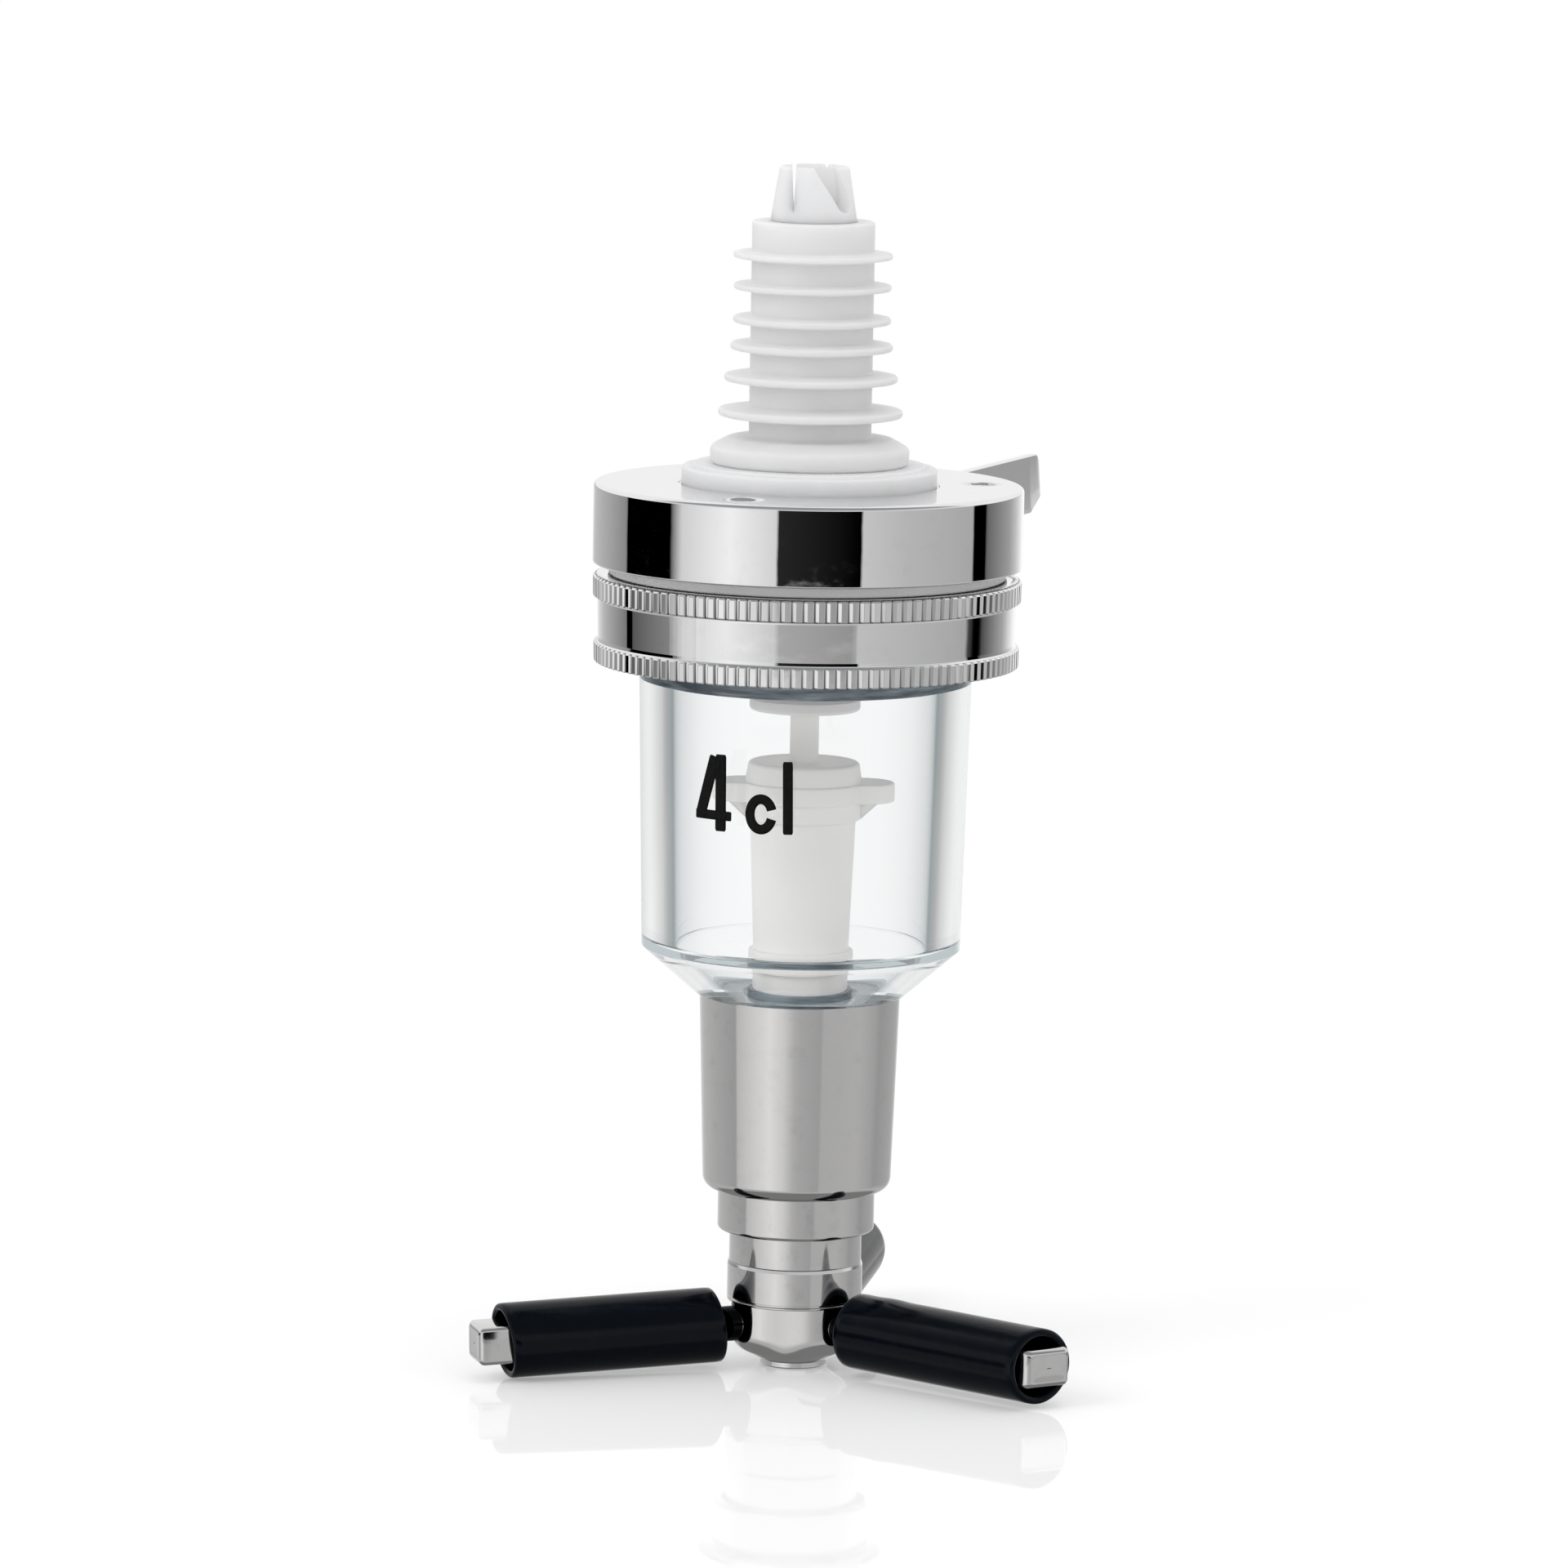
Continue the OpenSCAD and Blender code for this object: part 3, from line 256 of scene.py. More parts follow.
def rounded(corners, closed=True):
    """Profile through corners (radius, height, bend). At a corner P between unit directions a in and b out that turn
    by an angle t, the round starts at P - a R tan(t/2), and its points are start + R (a sin s + m (1 - cos s)) for s
    from 0 to t, where m is the normal to a on b's side. A guard point before and after each round keeps the shading
    flat."""
    table = np.asarray(corners, float)
    point, bend = table[:, :2], table[:, 2]

    def unit(v):
        return v / np.maximum(np.linalg.norm(v, axis=-1, keepdims=True), 1e-9)

    a = unit(point - np.roll(point, 1, 0))
    b = unit(np.roll(point, -1, 0) - point)
    cross = a[:, 0] * b[:, 1] - a[:, 1] * b[:, 0]
    bow = np.arctan2(np.abs(cross), (a * b).sum(1))
    m = np.sign(cross)[:, None] * np.stack([-a[:, 1], a[:, 0]], 1)
    s = (bow[:, None] * np.linspace(0, 1, BEND_STEPS + 1))[..., None]
    start = point - a * (bend * np.tan(bow / 2))[:, None]
    arc = start[:, None] + bend[:, None, None] * (a[:, None] * np.sin(s) + m[:, None] * (1 - np.cos(s)))
    rows = np.concatenate([arc[:, :1] - GUARD * a[:, None], arc, arc[:, -1:] + GUARD * b[:, None]], 1)
    if not closed:
        rows = [point[:1], *rows[1:-1], point[-1:]]
        return np.concatenate(rows)
    return rows.reshape(-1, 2)


def turned(profile, sides=SIDES):
    """Surface of a profile turned about Z: (r cos u, r sin u, z) for u round the circle, closed round the circle."""
    u = np.arange(sides) * 2 * np.pi / sides
    r, z = profile[:, :1], profile[:, 1:]
    return np.stack([r * np.cos(u), r * np.sin(u), z + 0 * u], -1)


def piece(name, grids, body, material, stands_for=()):
    """A piece from grids of points (rows, columns, 3); each grid says whether its rows and its columns close on
    themselves. Neighbours in a grid share quads, and points that coincide are merged, which closes poles."""
    points, quads, count = [], [], 0
    for grid, rows_close, columns_close in grids:
        index = np.arange(grid.shape[0] * grid.shape[1]).reshape(grid.shape[:2]) + count
        count += index.size
        if rows_close:
            index = np.concatenate([index, index[:1]], 0)
        if columns_close:
            index = np.concatenate([index, index[:, :1]], 1)
        quads.append(np.stack([index[:-1, :-1], index[:-1, 1:], index[1:, 1:], index[1:, :-1]], -1).reshape(-1, 4))
        points.append(grid.reshape(-1, 3))
    mesh = bpy.data.meshes.new(name)
    mesh.from_pydata((np.concatenate(points) * MM).tolist(), [], np.concatenate(quads).tolist())
    work = bmesh.new()
    work.from_mesh(mesh)
    bmesh.ops.remove_doubles(work, verts=work.verts, dist=2e-7)
    bmesh.ops.dissolve_degenerate(work, edges=work.edges, dist=1e-8)
    bmesh.ops.recalc_face_normals(work, faces=work.faces)
    work.to_mesh(mesh)
    work.free()
    mesh.shade_smooth()
    made = bpy.data.objects.new(name, mesh)
    bpy.context.scene.collection.objects.link(made)
    mesh.materials.append(material)
    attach(made, body)
    if stands_for:
        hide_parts(*stands_for)
    return made


def turned_piece(name, corners, body, material, node, sides=SIDES, closed=True):
    """A piece from one rounded profile turned about the axis. An open profile starts and ends on the axis."""
    grid = turned(rounded(corners, closed), sides)
    return piece(name, [(grid, closed, True)], body, material, [node] if node else ())


def finish(name, **constants):
    """A material with one Principled shader. Constants name its inputs with _ for a space.
    Returns the material, a function that feeds an input by name, and the Object coordinates to build patterns from."""
    material = bpy.data.materials.new(name)
    material.use_nodes = True
    tree = material.node_tree
    shader = next(n for n in tree.nodes if n.type == "BSDF_PRINCIPLED")
    place = Value(tree).node("TexCoord", output="Object")

    def feed(socket, value):
        place.feed(shader.inputs[socket.replace("_", " ").title().replace("Ior", "IOR")], value)

    for socket, value in constants.items():
        feed(socket, value)
    return material, feed, place


def noise(place, scale, detail, roughness=0.5):
    return place.node("TexNoise", inputs={
        "Vector": place, "Scale": scale, "Detail": detail, "Roughness": roughness})


def bump(height, distance):
    return height.node("Bump", inputs={"Height": height, "Strength": 1.0, "Distance": distance})


def plated(name, tint, rough, wave, haze, painted_shade=None):
    """Bright plating: a mirror with a slow wave in the surface, fine haze and faint handling marks, with painted shade:
    its colour goes black where the given shade mask is 1."""
    material, feed, place = finish(name, metallic=1.0)
    marks = rise(noise(place, 420.0, 4.0, 0.62), 0.52, 0.72)
    colour = blend(marks * 0.5, (*tint, 1), (*(0.93 * c for c in tint), 1))
    if painted_shade:
        # painted shade: the colour goes black where the mask is 1
        colour = blend(painted_shade(place), colour, (0.006, 0.007, 0.008, 1))
    feed("Base Color", colour)
    feed("Roughness", rough + marks * haze)
    height = noise(place, 170.0, 1.0) + noise(place, 650.0, 1.0) * 0.10 + noise(place, 2600.0, 2.0) * 0.012
    feed("Normal", bump(height, wave))
    return material


NICKEL = (0.695, 0.686, 0.682)
satin = plated("nickel_chrome", NICKEL, 0.07, 0.000012, 0.08)

TIP_R, TIP_BORE_R, TIP_H = 4.6, 3.0, 9.0
turned_piece("spout_tip_tube", [
    (TIP_BORE_R, TIP_H, 0.1), (TIP_BORE_R, 0.0, 0.25), (TIP_R, 0.0, 0.22), (TIP_R, TIP_H, 0.1)],
    "lever", satin, "spout_tip")

NECK_R, THREAD_R, NUT_R, NUT_Z, NECK_Z, GROOVE, CHAMFER = 9.0, 6.2, 9.2, 8.95, 14.4, 0.3, 0.45
turned_piece("hub_nut_ring", [
    (THREAD_R, NUT_Z, 0.1), (NUT_R, NUT_Z, 0.12),
    (NUT_R, NUT_Z + GROOVE, 0.05), (NUT_R - GROOVE, NUT_Z + GROOVE, 0.05),
    (NUT_R - GROOVE, NUT_Z + 2 * GROOVE, 0.05), (NUT_R, NUT_Z + 2 * GROOVE, 0.05),
    (NUT_R, NECK_Z - CHAMFER, 0.05), (NECK_R + 0.09, NECK_Z, 0.03), (THREAD_R, NECK_Z, 0.1)],
    "lever", satin, "hub_nut")

# the neck stands on the hub's shoulder; above its stop a cup under the spring drains into the outlet
SHOULDER_Z, STOP_R, STOP_Z, CUP_R, CUP_Z, CUP_TOP_Z = 2.6, 11.4, 28.4, 7.4, 30.4, 38.0
CUP_BORE_R, CUP_FLOOR_Z, DRAIN_R, OUTLET_R, OUTLET_Z = 6.0, 22.0, 4.8, 3.4, 20.8
turned_piece("neck_tube", [
    (TIP_R, SHOULDER_Z, 0.1), (THREAD_R, SHOULDER_Z, 0.1), (THREAD_R, NECK_Z, 0.1), (NECK_R, NECK_Z, 0.12),
    (NECK_R, STOP_Z, 0.1), (STOP_R, STOP_Z, 0.2), (STOP_R, CUP_Z, 0.2), (CUP_R, CUP_Z, 0.2), (CUP_R, CUP_TOP_Z, 0.2),
    (CUP_BORE_R, CUP_TOP_Z, 0.2), (CUP_BORE_R, CUP_FLOOR_Z, 0.2), (DRAIN_R, CUP_FLOOR_Z, 0.3),
    (OUTLET_R, OUTLET_Z, 0.3), (OUTLET_R, TIP_H, 0.1), (TIP_R, TIP_H, 0.1)],
    "lever", satin, "spout_neck")


# --- Lever spider -------------------------------------
# One die casting: a bowl-shaped hub with three flat bars, plated like the neck.
# It is clamped between the tip's shoulder and the hub nut.
HUB_R, HUB_Z, BOWL_ROUND, BOWL_SLOPE = 8.8, 0.75, 3.0, math.radians(28.0)
HUB_FALL, FALL_START_R = 0.95, 6.5
ARM_Z, ARM_REACH, ROOT_R, ROOT_START, ROOT_END = 6.15, 45.6, 2.4, 5.0, 11.8
BAR_W, BAR_H, BAR_EDGE, BAR_END, CUT_START = 6.6, 5.2, 0.6, 0.8, 41.0
# turn about the axis and droop in degrees, how far the nearer corner of the bar's end is cut back, and the grip's end
ARMS = {"left": (-150.0, 1.28, -0.4, 42.2), "right": (-30.0, 0.5, 2.0, 44.2), "rear": (90.0, -1.9, 0.0, 45.2)}

bowl_corner_z = HUB_Z + (HUB_R - TIP_R) * math.tan(BOWL_SLOPE)
hub_shell = turned(rounded([
    (TIP_R, HUB_Z, 0.1), (HUB_R, bowl_corner_z, BOWL_ROUND), (HUB_R, NUT_Z, 0.15), (THREAD_R, NUT_Z, 0.1),
    (THREAD_R, SHOULDER_Z, 0.1), (TIP_R, SHOULDER_Z, 0.1)]))


def faceted(grid):
    """Draws the outside in by a (1 - cos 3u) at angle u from a bar, which leaves flatter faces between the bars."""
    r = np.hypot(grid[..., 0], grid[..., 1])
    u = np.arctan2(grid[..., 1], grid[..., 0]) - math.pi / 2
    fall = HUB_FALL * (1 - np.cos(3 * u)) * np.clip((r - FALL_START_R) / (HUB_R - FALL_START_R), 0, 1)
    return grid * np.stack([1 - fall / r, 1 - fall / r, 1 + 0 * r], -1)


def spun(x, y, z, turn):
    """Points (x, y, z) turned about Z: (x cos a - y sin a, x sin a + y cos a, z)."""
    c, s = math.cos(turn), math.sin(turn)
    return np.stack([x * c - y * s, x * s + y * c, z], -1)


def arm_frame(points, arm):
    """Puts points with X along a bar, Y across it and Z up in the bar's place: droop by d, lift, then turn about Z."""
    turn, droop = np.radians(ARMS[arm][:2])
    x, y, z = points[..., 0], points[..., 1], points[..., 2]
    along, up = x * math.cos(droop) + z * math.sin(droop), ARM_Z - x * math.sin(droop) + z * math.cos(droop)
    return spun(along, y, up, turn)


def box_section(half_w, half_h, edge, steps=5):
    """Outline of a rectangle with round edges: each corner's centre plus edge (cos t, sin t), t over its quarter."""
    t = np.linspace(0, np.pi / 2, steps + 1) + np.arange(4)[:, None] * np.pi / 2
    sign = np.array([[1, 1], [-1, 1], [-1, -1], [1, -1]], float)
    centre = sign * [half_w - edge, half_h - edge]
    return (centre[:, None] + edge * np.stack([np.cos(t), np.sin(t)], -1)).reshape(-1, 2)


def bar_grid(arm):
    """Round root from inside the hub, then the bar to its end: the section shrinks by e (1 - cos q) over the end's
    round, where it runs on by e sin q, then closes over the flat face. The end leans by the cut across the bar's
    width."""
    q = np.linspace(0, np.pi / 2, 5)
    x = np.concatenate([[ROOT_END, ROOT_END + 0.02, 20.0, 40.0], ARM_REACH - BAR_END + BAR_END * np.sin(q),
                        [ARM_REACH - 0.01, ARM_REACH - 0.05, ARM_REACH - 0.06]])
    inset = np.concatenate([[2.0, 0, 0, 0], BAR_END * (1 - np.cos(q)), [BAR_END + 0.06, 1.6, 2.55]])
    full = box_section(BAR_W / 2, BAR_H / 2, BAR_EDGE)
    bar = np.sign(full) * np.maximum(np.abs(full)[None] - inset[:, None, None], 0)
    root = box_section(ROOT_R, ROOT_R, ROOT_R)
    rows = np.concatenate([[root, root], bar])
    x = np.concatenate([[ROOT_START, ROOT_END], x])[:, None, None] + 0 * rows[..., :1]
    near_side = -1 if arm == "right" else 1
    x = x - ARMS[arm][2] * (x > CUT_START) * (1 + near_side * rows[..., :1] / (BAR_W / 2)) / 2
    return arm_frame(np.concatenate([x, rows], -1), arm)


def reach_of(place):
    """Distance from the axis."""
    flat = place.node("VectorMath", {"operation": "MULTIPLY"}, {0: place, 1: (1, 1, 0)})
    return flat.node("VectorMath", {"operation": "LENGTH"}, {0: flat}, 1)


def root_shade(place):
    """1 on the bars' roots, which lie between the hub's side and the grips' inner ends; it marks where black shade is
    painted.
    """
    reach = reach_of(place)
    return rise(reach, 8.35 * MM, 8.6 * MM) * rise(reach, 36.0 * MM, 34.0 * MM)


casting = plated("nickel_casting", NICKEL, 0.07, 0.000012, 0.08, root_shade)
piece("lever_casting", [(faceted(hub_shell), True, True)] + [(bar_grid(arm), False, True) for arm in ARMS],
      "lever", casting, ["lever_spider"])


# --- Grips --------------------------------------------
# Soft black PVC tube, cut by hand to length and pushed over each bar. It has a
# high gloss, ends that are not quite square, and gives a little at the bar's edges.
pvc, pvc_feed, pvc_place = finish("black_pvc", specular_ior_level=0.15)
grain, pits = noise(pvc_place, 900.0, 3.0), noise(pvc_place, 300.0, 2.0)
pvc_feed("Base Color", ramp(grain, (0.3, (0.0002, 0.0014, 0.0036)), (0.75, (0.0008, 0.0030, 0.0066))))
pvc_feed("Roughness", 0.10 + pits * 0.12)
pvc_feed("Normal", bump(pits + grain * 0.3, 0.00002))

GRIP_START, GRIP_R, GRIP_BORE_R, GRIP_ROWS, SWELL_LENGTH = 10.8, 5.13, 4.02, 59, 12.0


def grip_grid(arm, squeeze, lean, lean_turn, inner_lean, wrinkle):
    """Tube whose section is r (1 - s (1 + cos 2t) / 2) at angle t, with s growing over the outer 12 mm. The outer end
    is cut along a plane that shortens it by up to lean away from lean_turn, the inner end's top by up to inner_lean,
    and each rim is a half round between the outer wall and the bore. Wrinkles fade out along the top."""
    t = np.arange(96) * 2 * np.pi / 96
    wall, middle = (GRIP_R - GRIP_BORE_R) / 2, (GRIP_R + GRIP_BORE_R) / 2
    q = np.linspace(0, np.pi, 9)[1:-1]
    out, none = np.linspace(0, 1, GRIP_ROWS + 2)[1:-1], np.zeros(GRIP_ROWS)
    u = np.concatenate([out, 1 + 0 * q, out[::-1], 0 * q])[:, None]
    side = np.concatenate([none + 1, np.cos(q), none - 1, -np.cos(q)])[:, None]
    lip = np.concatenate([none, np.sin(q), none, -np.sin(q)])[:, None] * wall
    length = ARMS[arm][3] - GRIP_START
    x = GRIP_START + wall + u * (length - 2 * wall) + lip
    x = x - np.maximum(2 * u - 1, 0) * lean * (1 + np.cos(t - lean_turn)) / 2
    x = x + np.maximum(1 - 2 * u, 0) * inner_lean * (1 + np.sin(t)) / 2
    swell = np.clip((u * length - (length - SWELL_LENGTH)) / SWELL_LENGTH, 0, 1) ** 2
    folds = np.sin(u * 21 + 1.3 * np.sin(t)) * np.exp(-((u - 0.16) / 0.12) ** 2) * np.maximum(np.sin(t), 0) ** 2
    radius = (middle + side * wall) * (1 - squeeze * swell * (1 + np.cos(2 * t)) / 2) - wrinkle * folds
    return arm_frame(np.stack([x, radius * np.cos(t), radius * np.sin(t)], -1), arm)


for arm, squeeze, lean, lean_turn, inner_lean, wrinkle in (
        ("left", 0.05, 1.1, -1.4, 1.0, 0.0),
        ("right", 0.0, 2.0, math.pi, 0.3, 0.10),
        ("rear", 0.02, 0.5, 0.4, 0.3, 0.03)):
    piece("grip_sleeve_" + arm, [(grip_grid(arm, squeeze, lean, lean_turn, inner_lean, wrinkle), True, True)],
          "lever", pvc, ["grip_" + arm])


# --- Guide nut and lower sleeve -----------------------
# Turned and plated like the neck. The guide nut screws into the sleeve's foot and
# holds the plastic bush; the sleeve widens slightly up to the chamber's foot.
GUIDE_R, GUIDE_Z, GUIDE_THREAD_R, BUSH_R, SLEEVE_Z = 10.66, 18.75, 10.2, 9.44, 24.4
turned_piece("guide_nut_ring", [
    (BUSH_R, GUIDE_Z, 0.1), (GUIDE_R, GUIDE_Z, 0.5), (GUIDE_R, SLEEVE_Z, 0.08), (GUIDE_THREAD_R, SLEEVE_Z, 0.05),
    (GUIDE_THREAD_R, STOP_Z, 0.1), (BUSH_R, STOP_Z, 0.1)],
    "measure", satin, "guide_nut")

SLEEVE_R, SLEEVE_TOP_R, SLEEVE_ROUND, CHAMBER_Z = 12.75, 13.6, 1.7, 51.2
FOOT_R, SEAT_Z, SPRING_ROOM_R, SPRING_ROOM_Z = 12.4, 43.0, 11.8, 26.9
turned_piece("sleeve_tube", [
    (GUIDE_THREAD_R, SLEEVE_Z, 0.05), (SLEEVE_R, SLEEVE_Z, SLEEVE_ROUND), (SLEEVE_TOP_R, CHAMBER_Z, 0.12),
    (FOOT_R, CHAMBER_Z, 0.1), (FOOT_R, SEAT_Z, 0.1), (SPRING_ROOM_R, SEAT_Z, 0.1),
    (SPRING_ROOM_R, SPRING_ROOM_Z, 0.2), (GUIDE_THREAD_R, SPRING_ROOM_Z, 0.1)],
    "measure", satin, "lower_sleeve")


# --- Outlet valve -------------------------------------
# Hidden in the sleeve: a moulded seat with a nozzle, soft washers under the plunger
# and the chamber, a steel stem and spring, and a plastic bush round the neck.
def moulded(name, low, high, gloss_low, gloss_high, depth, scales=(120.0, 1500.0), detail=3.0, **constants):
    """Moulded plastic or rubber: a faint cloudiness, uneven gloss and the mould's slight texture, at two scales."""
    material, feed, place = finish(name, **constants)
    cloud = noise(place, scales[0], detail)
    feed("Base Color", ramp(cloud, (0.3, low), (0.7, high)))
    feed("Roughness", cloud * (gloss_high - gloss_low) + gloss_low)
    feed("Normal", bump(noise(place, scales[1], detail) + cloud, depth))
    return material


valve_white = moulded("valve_plastic", (0.895, 0.875, 0.85), (0.93, 0.912, 0.888), 0.35, 0.5, 0.00003)
SEAT_BORE_R, SEAT_NOZZLE_R, SEAT_NOZZLE_H, SEAT_TOP_Z, FOOT_Z, PLUG_Z = 4.6, 5.6, 10.0, 46.0, 47.2, 47.5
turned_piece("outlet_seat_ring", [
    (SEAT_BORE_R, SEAT_Z - SEAT_NOZZLE_H, 0.2), (SEAT_NOZZLE_R, SEAT_Z - SEAT_NOZZLE_H, 0.2),
    (SEAT_NOZZLE_R, SEAT_Z, 0.2), (FOOT_R, SEAT_Z, 0.1), (FOOT_R, SEAT_TOP_Z, 0.1), (SEAT_BORE_R, SEAT_TOP_Z, 0.3)],
    "measure", valve_white, "outlet_seat")


def ring(bore, radius, low, high, *bends):
    """Corners of a plain ring from its bore's foot outwards and up; a single bend serves all four."""
    places = (bore, low), (radius, low), (radius, high), (bore, high)
    return [(*place, bend) for place, bend in zip(places, bends if len(bends) > 1 else bends * 4)]


STEM_R, WASHER_R, THROAT_R = 2.0, 6.9, 7.5
washer_blue = moulded("washer_blue", (0.30, 0.36, 0.40), (0.40, 0.46, 0.50), 0.4, 0.6, 0.00003)
turned_piece("outlet_washer", ring(STEM_R, WASHER_R, SEAT_TOP_Z, PLUG_Z, 0.1, 0.3, 0.3, 0.1),
             "lever", washer_blue, "outlet_seal")
pale_washer = moulded("pale_washer", (0.80, 0.83, 0.84), (0.86, 0.89, 0.90), 0.4, 0.6, 0.00003)
turned_piece("sleeve_washer", ring(THROAT_R, FOOT_R, SEAT_TOP_Z, FOOT_Z, 0.2),
             "measure", pale_washer, "sleeve_seal")

BUSH_BORE_R, BUSH_Z = 9.04, 19.25
turned_piece("neck_bush", ring(BUSH_BORE_R, BUSH_R, BUSH_Z, STOP_Z, 0.1),
             "measure", valve_white, "guide_bush")


def refinish(node, material):
    """Gives a solid that stays a better material."""
    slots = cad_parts[node].data.materials
    slots.clear()
    slots.append(material)


steel = plated("stainless", (0.62, 0.62, 0.63), 0.22, 0.00001, 0.15)
refinish("plunger_stem", steel)


def coil(radius, wire, low, high, turns, ends):
    """Wire swept along a helix: centre (R cos a, R sin a, h(a)), where the first and last turn rise one wire and the
    turns between rise evenly. The section's circle lies in the plane of the axis and the centre."""
    a = np.linspace(0, turns, turns * 40 + 1)
    pitch = (high - low - 2 * wire - 2 * ends) / (turns - 2)
    height = low + wire + ends * np.minimum(a, 1) + pitch * np.clip(a - 1, 0, turns - 2)
    height = height + ends * np.maximum(a - turns + 1, 0)
    b = np.arange(12) * 2 * np.pi / 12
    grow = np.clip(np.minimum(np.arange(len(a)), np.arange(len(a))[::-1]), 0, 1)[:, None]
    r = radius + wire * grow * np.cos(b)
    a = a[:, None] * 2 * np.pi
    return np.stack([r * np.cos(a), r * np.sin(a), height[:, None] + wire * grow * np.sin(b)], -1)


SPRING_R, WIRE_R, SPRING_TURNS = 9.6, 0.6, 5
spring = piece("spring_coil", [(coil(SPRING_R, WIRE_R, CUP_Z, SEAT_Z, SPRING_TURNS, 2 * WIRE_R), False, True)],
               "measure", steel, ["return_spring"])
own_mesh(spring)


# --- Chamber ------------------------------------------
# Thick clear acrylic, moulded and polished. Its flange is clamped by the collar,
# its foot is screwed into the sleeve, and its dose is printed on the front.
clear, clear_feed, clear_place = finish("clear_acrylic", roughness=0.0, ior=1.49, transmission_weight=1.0)
tinge = noise(clear_place, 60.0, 2.0)
clear_feed("Base Color", ramp(tinge, (0.3, (0.985, 0.992, 0.995)), (0.7, (0.992, 0.996, 0.998))))
clear_feed("Normal", bump(tinge, 0.00001))
# rays still bouncing between the faces after a few turns end on a painted pale glow, which stands for the pale edges of
# polished acrylic
clear_body = Value(clear.node_tree, clear.node_tree.nodes["Principled BSDF"].outputs[0])
painted_edge_glow = clear_place.node("Emission", inputs={"Color": (0.52, 0.58, 0.60, 1), "Strength": 1.0})
clear_body = clear_place.node("MixShader", inputs={
    0: light_path(clear_place, "Ray Depth").maths("GREATER_THAN", 4.5), 1: clear_body, 2: painted_edge_glow})
# light from the lamps and between the parts inside passes straight through the wall
lit_through = clear_place.node("BsdfTransparent", inputs={0: (0.985, 0.99, 0.99, 1)})
passes = light_path(clear_place, "Is Shadow Ray").maths("MAXIMUM", light_path(clear_place, "Is Diffuse Ray"))
clear_place.feed(clear.node_tree.nodes["Material Output"].inputs["Surface"],
                 clear_place.node("MixShader", inputs={0: passes, 1: clear_body, 2: lit_through}))

CHAMBER_R, CHAMBER_TOP_R, CHAMBER_WALL, CONE_R, CORNER_Z = 21.6, 22.55, 4.5, 14.1, 57.7
FLANGE_R, FLANGE_Z, FLANGE_TOP_Z, INNER_CORNER_Z, FLOOR_Z = 25.0, 98.4, 100.9, 58.3, 52.7
CHAMBER_DRAFT = CHAMBER_TOP_R - CHAMBER_R
# the floor runs down beside the cone outside it, so that the plunger's foot shows through
cone_slope = (CHAMBER_R - CONE_R) / (CORNER_Z - CHAMBER_Z)
floor_r = CHAMBER_R - CHAMBER_WALL - (INNER_CORNER_Z - FLOOR_Z) * cone_slope
turned_piece("chamber_cup", [
    (THROAT_R, FOOT_Z, 0.2), (FOOT_R, FOOT_Z, 0.1), (FOOT_R, CHAMBER_Z, 0.08), (CONE_R, CHAMBER_Z, 0.15),
    (CHAMBER_R, CORNER_Z, 0.5), (CHAMBER_TOP_R, FLANGE_Z, 0.1), (FLANGE_R, FLANGE_Z, 0.2),
    (FLANGE_R, FLANGE_TOP_Z, 0.2), (CHAMBER_TOP_R - CHAMBER_WALL, FLANGE_TOP_Z, 0.2),
    (CHAMBER_R - CHAMBER_WALL, INNER_CORNER_Z, 1.0), (floor_r, FLOOR_Z, 1.0), (THROAT_R, FLOOR_Z - 0.1, 0.5)],
    "measure", clear, "chamber", sides=256)

# black ink in a plain letter, measured on the wall from the mark's turn and its base line
MARK_R, MARK_DEPTH, MARK_TURN, MARK_Z = CHAMBER_R + 0.04, 0.03, math.radians(-80.0), 75.88
NUMBER = [  # start and end (right, up) of each stroke, and its width
    ((-11.47, 0.0), (-11.57, 10.35), 1.65), ((-12.45, 10.05), (-14.72, 2.0), 1.7), ((-15.5, 2.15), (-9.85, 2.1), 1.28),
    ((-12.0, 9.6), (-12.3, 7.0), 0.9)]
LAST_LETTER = ((-1.97, 0.1), (-2.14, 9.9), 1.35)
BOW_CENTRE, BOW_RIGHT, BOW_UP, BOW_W, BOW_OPEN = (-5.66, 2.70), 1.52, 2.05, 1.32, 17


def ribbon(path, widths):
    """Stroke of ink along points (right, up): four points across each step, w / 2 to each side, on a thin closed skin
    at angle right / R round the tapered wall."""
    along = np.gradient(path, axis=0)
    across = np.stack([-along[:, 1], along[:, 0]], 1) / np.linalg.norm(along, axis=1, keepdims=True)
    reach = np.array([-1, -1 / 3, 1 / 3, 1, 1, 1 / 3, -1 / 3, -1]) / 2
    edge = path[:, None] + across[:, None] * (np.asarray(widths)[:, None] * reach)[..., None]
    up = MARK_Z + edge[..., 1]
    wall = MARK_R + CHAMBER_DRAFT * (up - CORNER_Z) / (FLANGE_Z - CORNER_Z) + MARK_DEPTH * (np.arange(8) < 4)
    angle = MARK_TURN + edge[..., 0] / wall
    return np.stack([wall * np.cos(angle), wall * np.sin(angle), up], -1)


def stroke(start, end, width):
    """Straight ribbon with slightly rounded corners."""
    share = np.concatenate([[0, 0.012, 0.03], np.linspace(0.06, 0.94, 12), [0.97, 0.988, 1]])[:, None]
    taper = np.minimum(1, 0.82 + 6 * np.minimum(share, 1 - share)[:, 0])
    return ribbon(np.array(start) * (1 - share) + np.array(end) * share, width * taper)


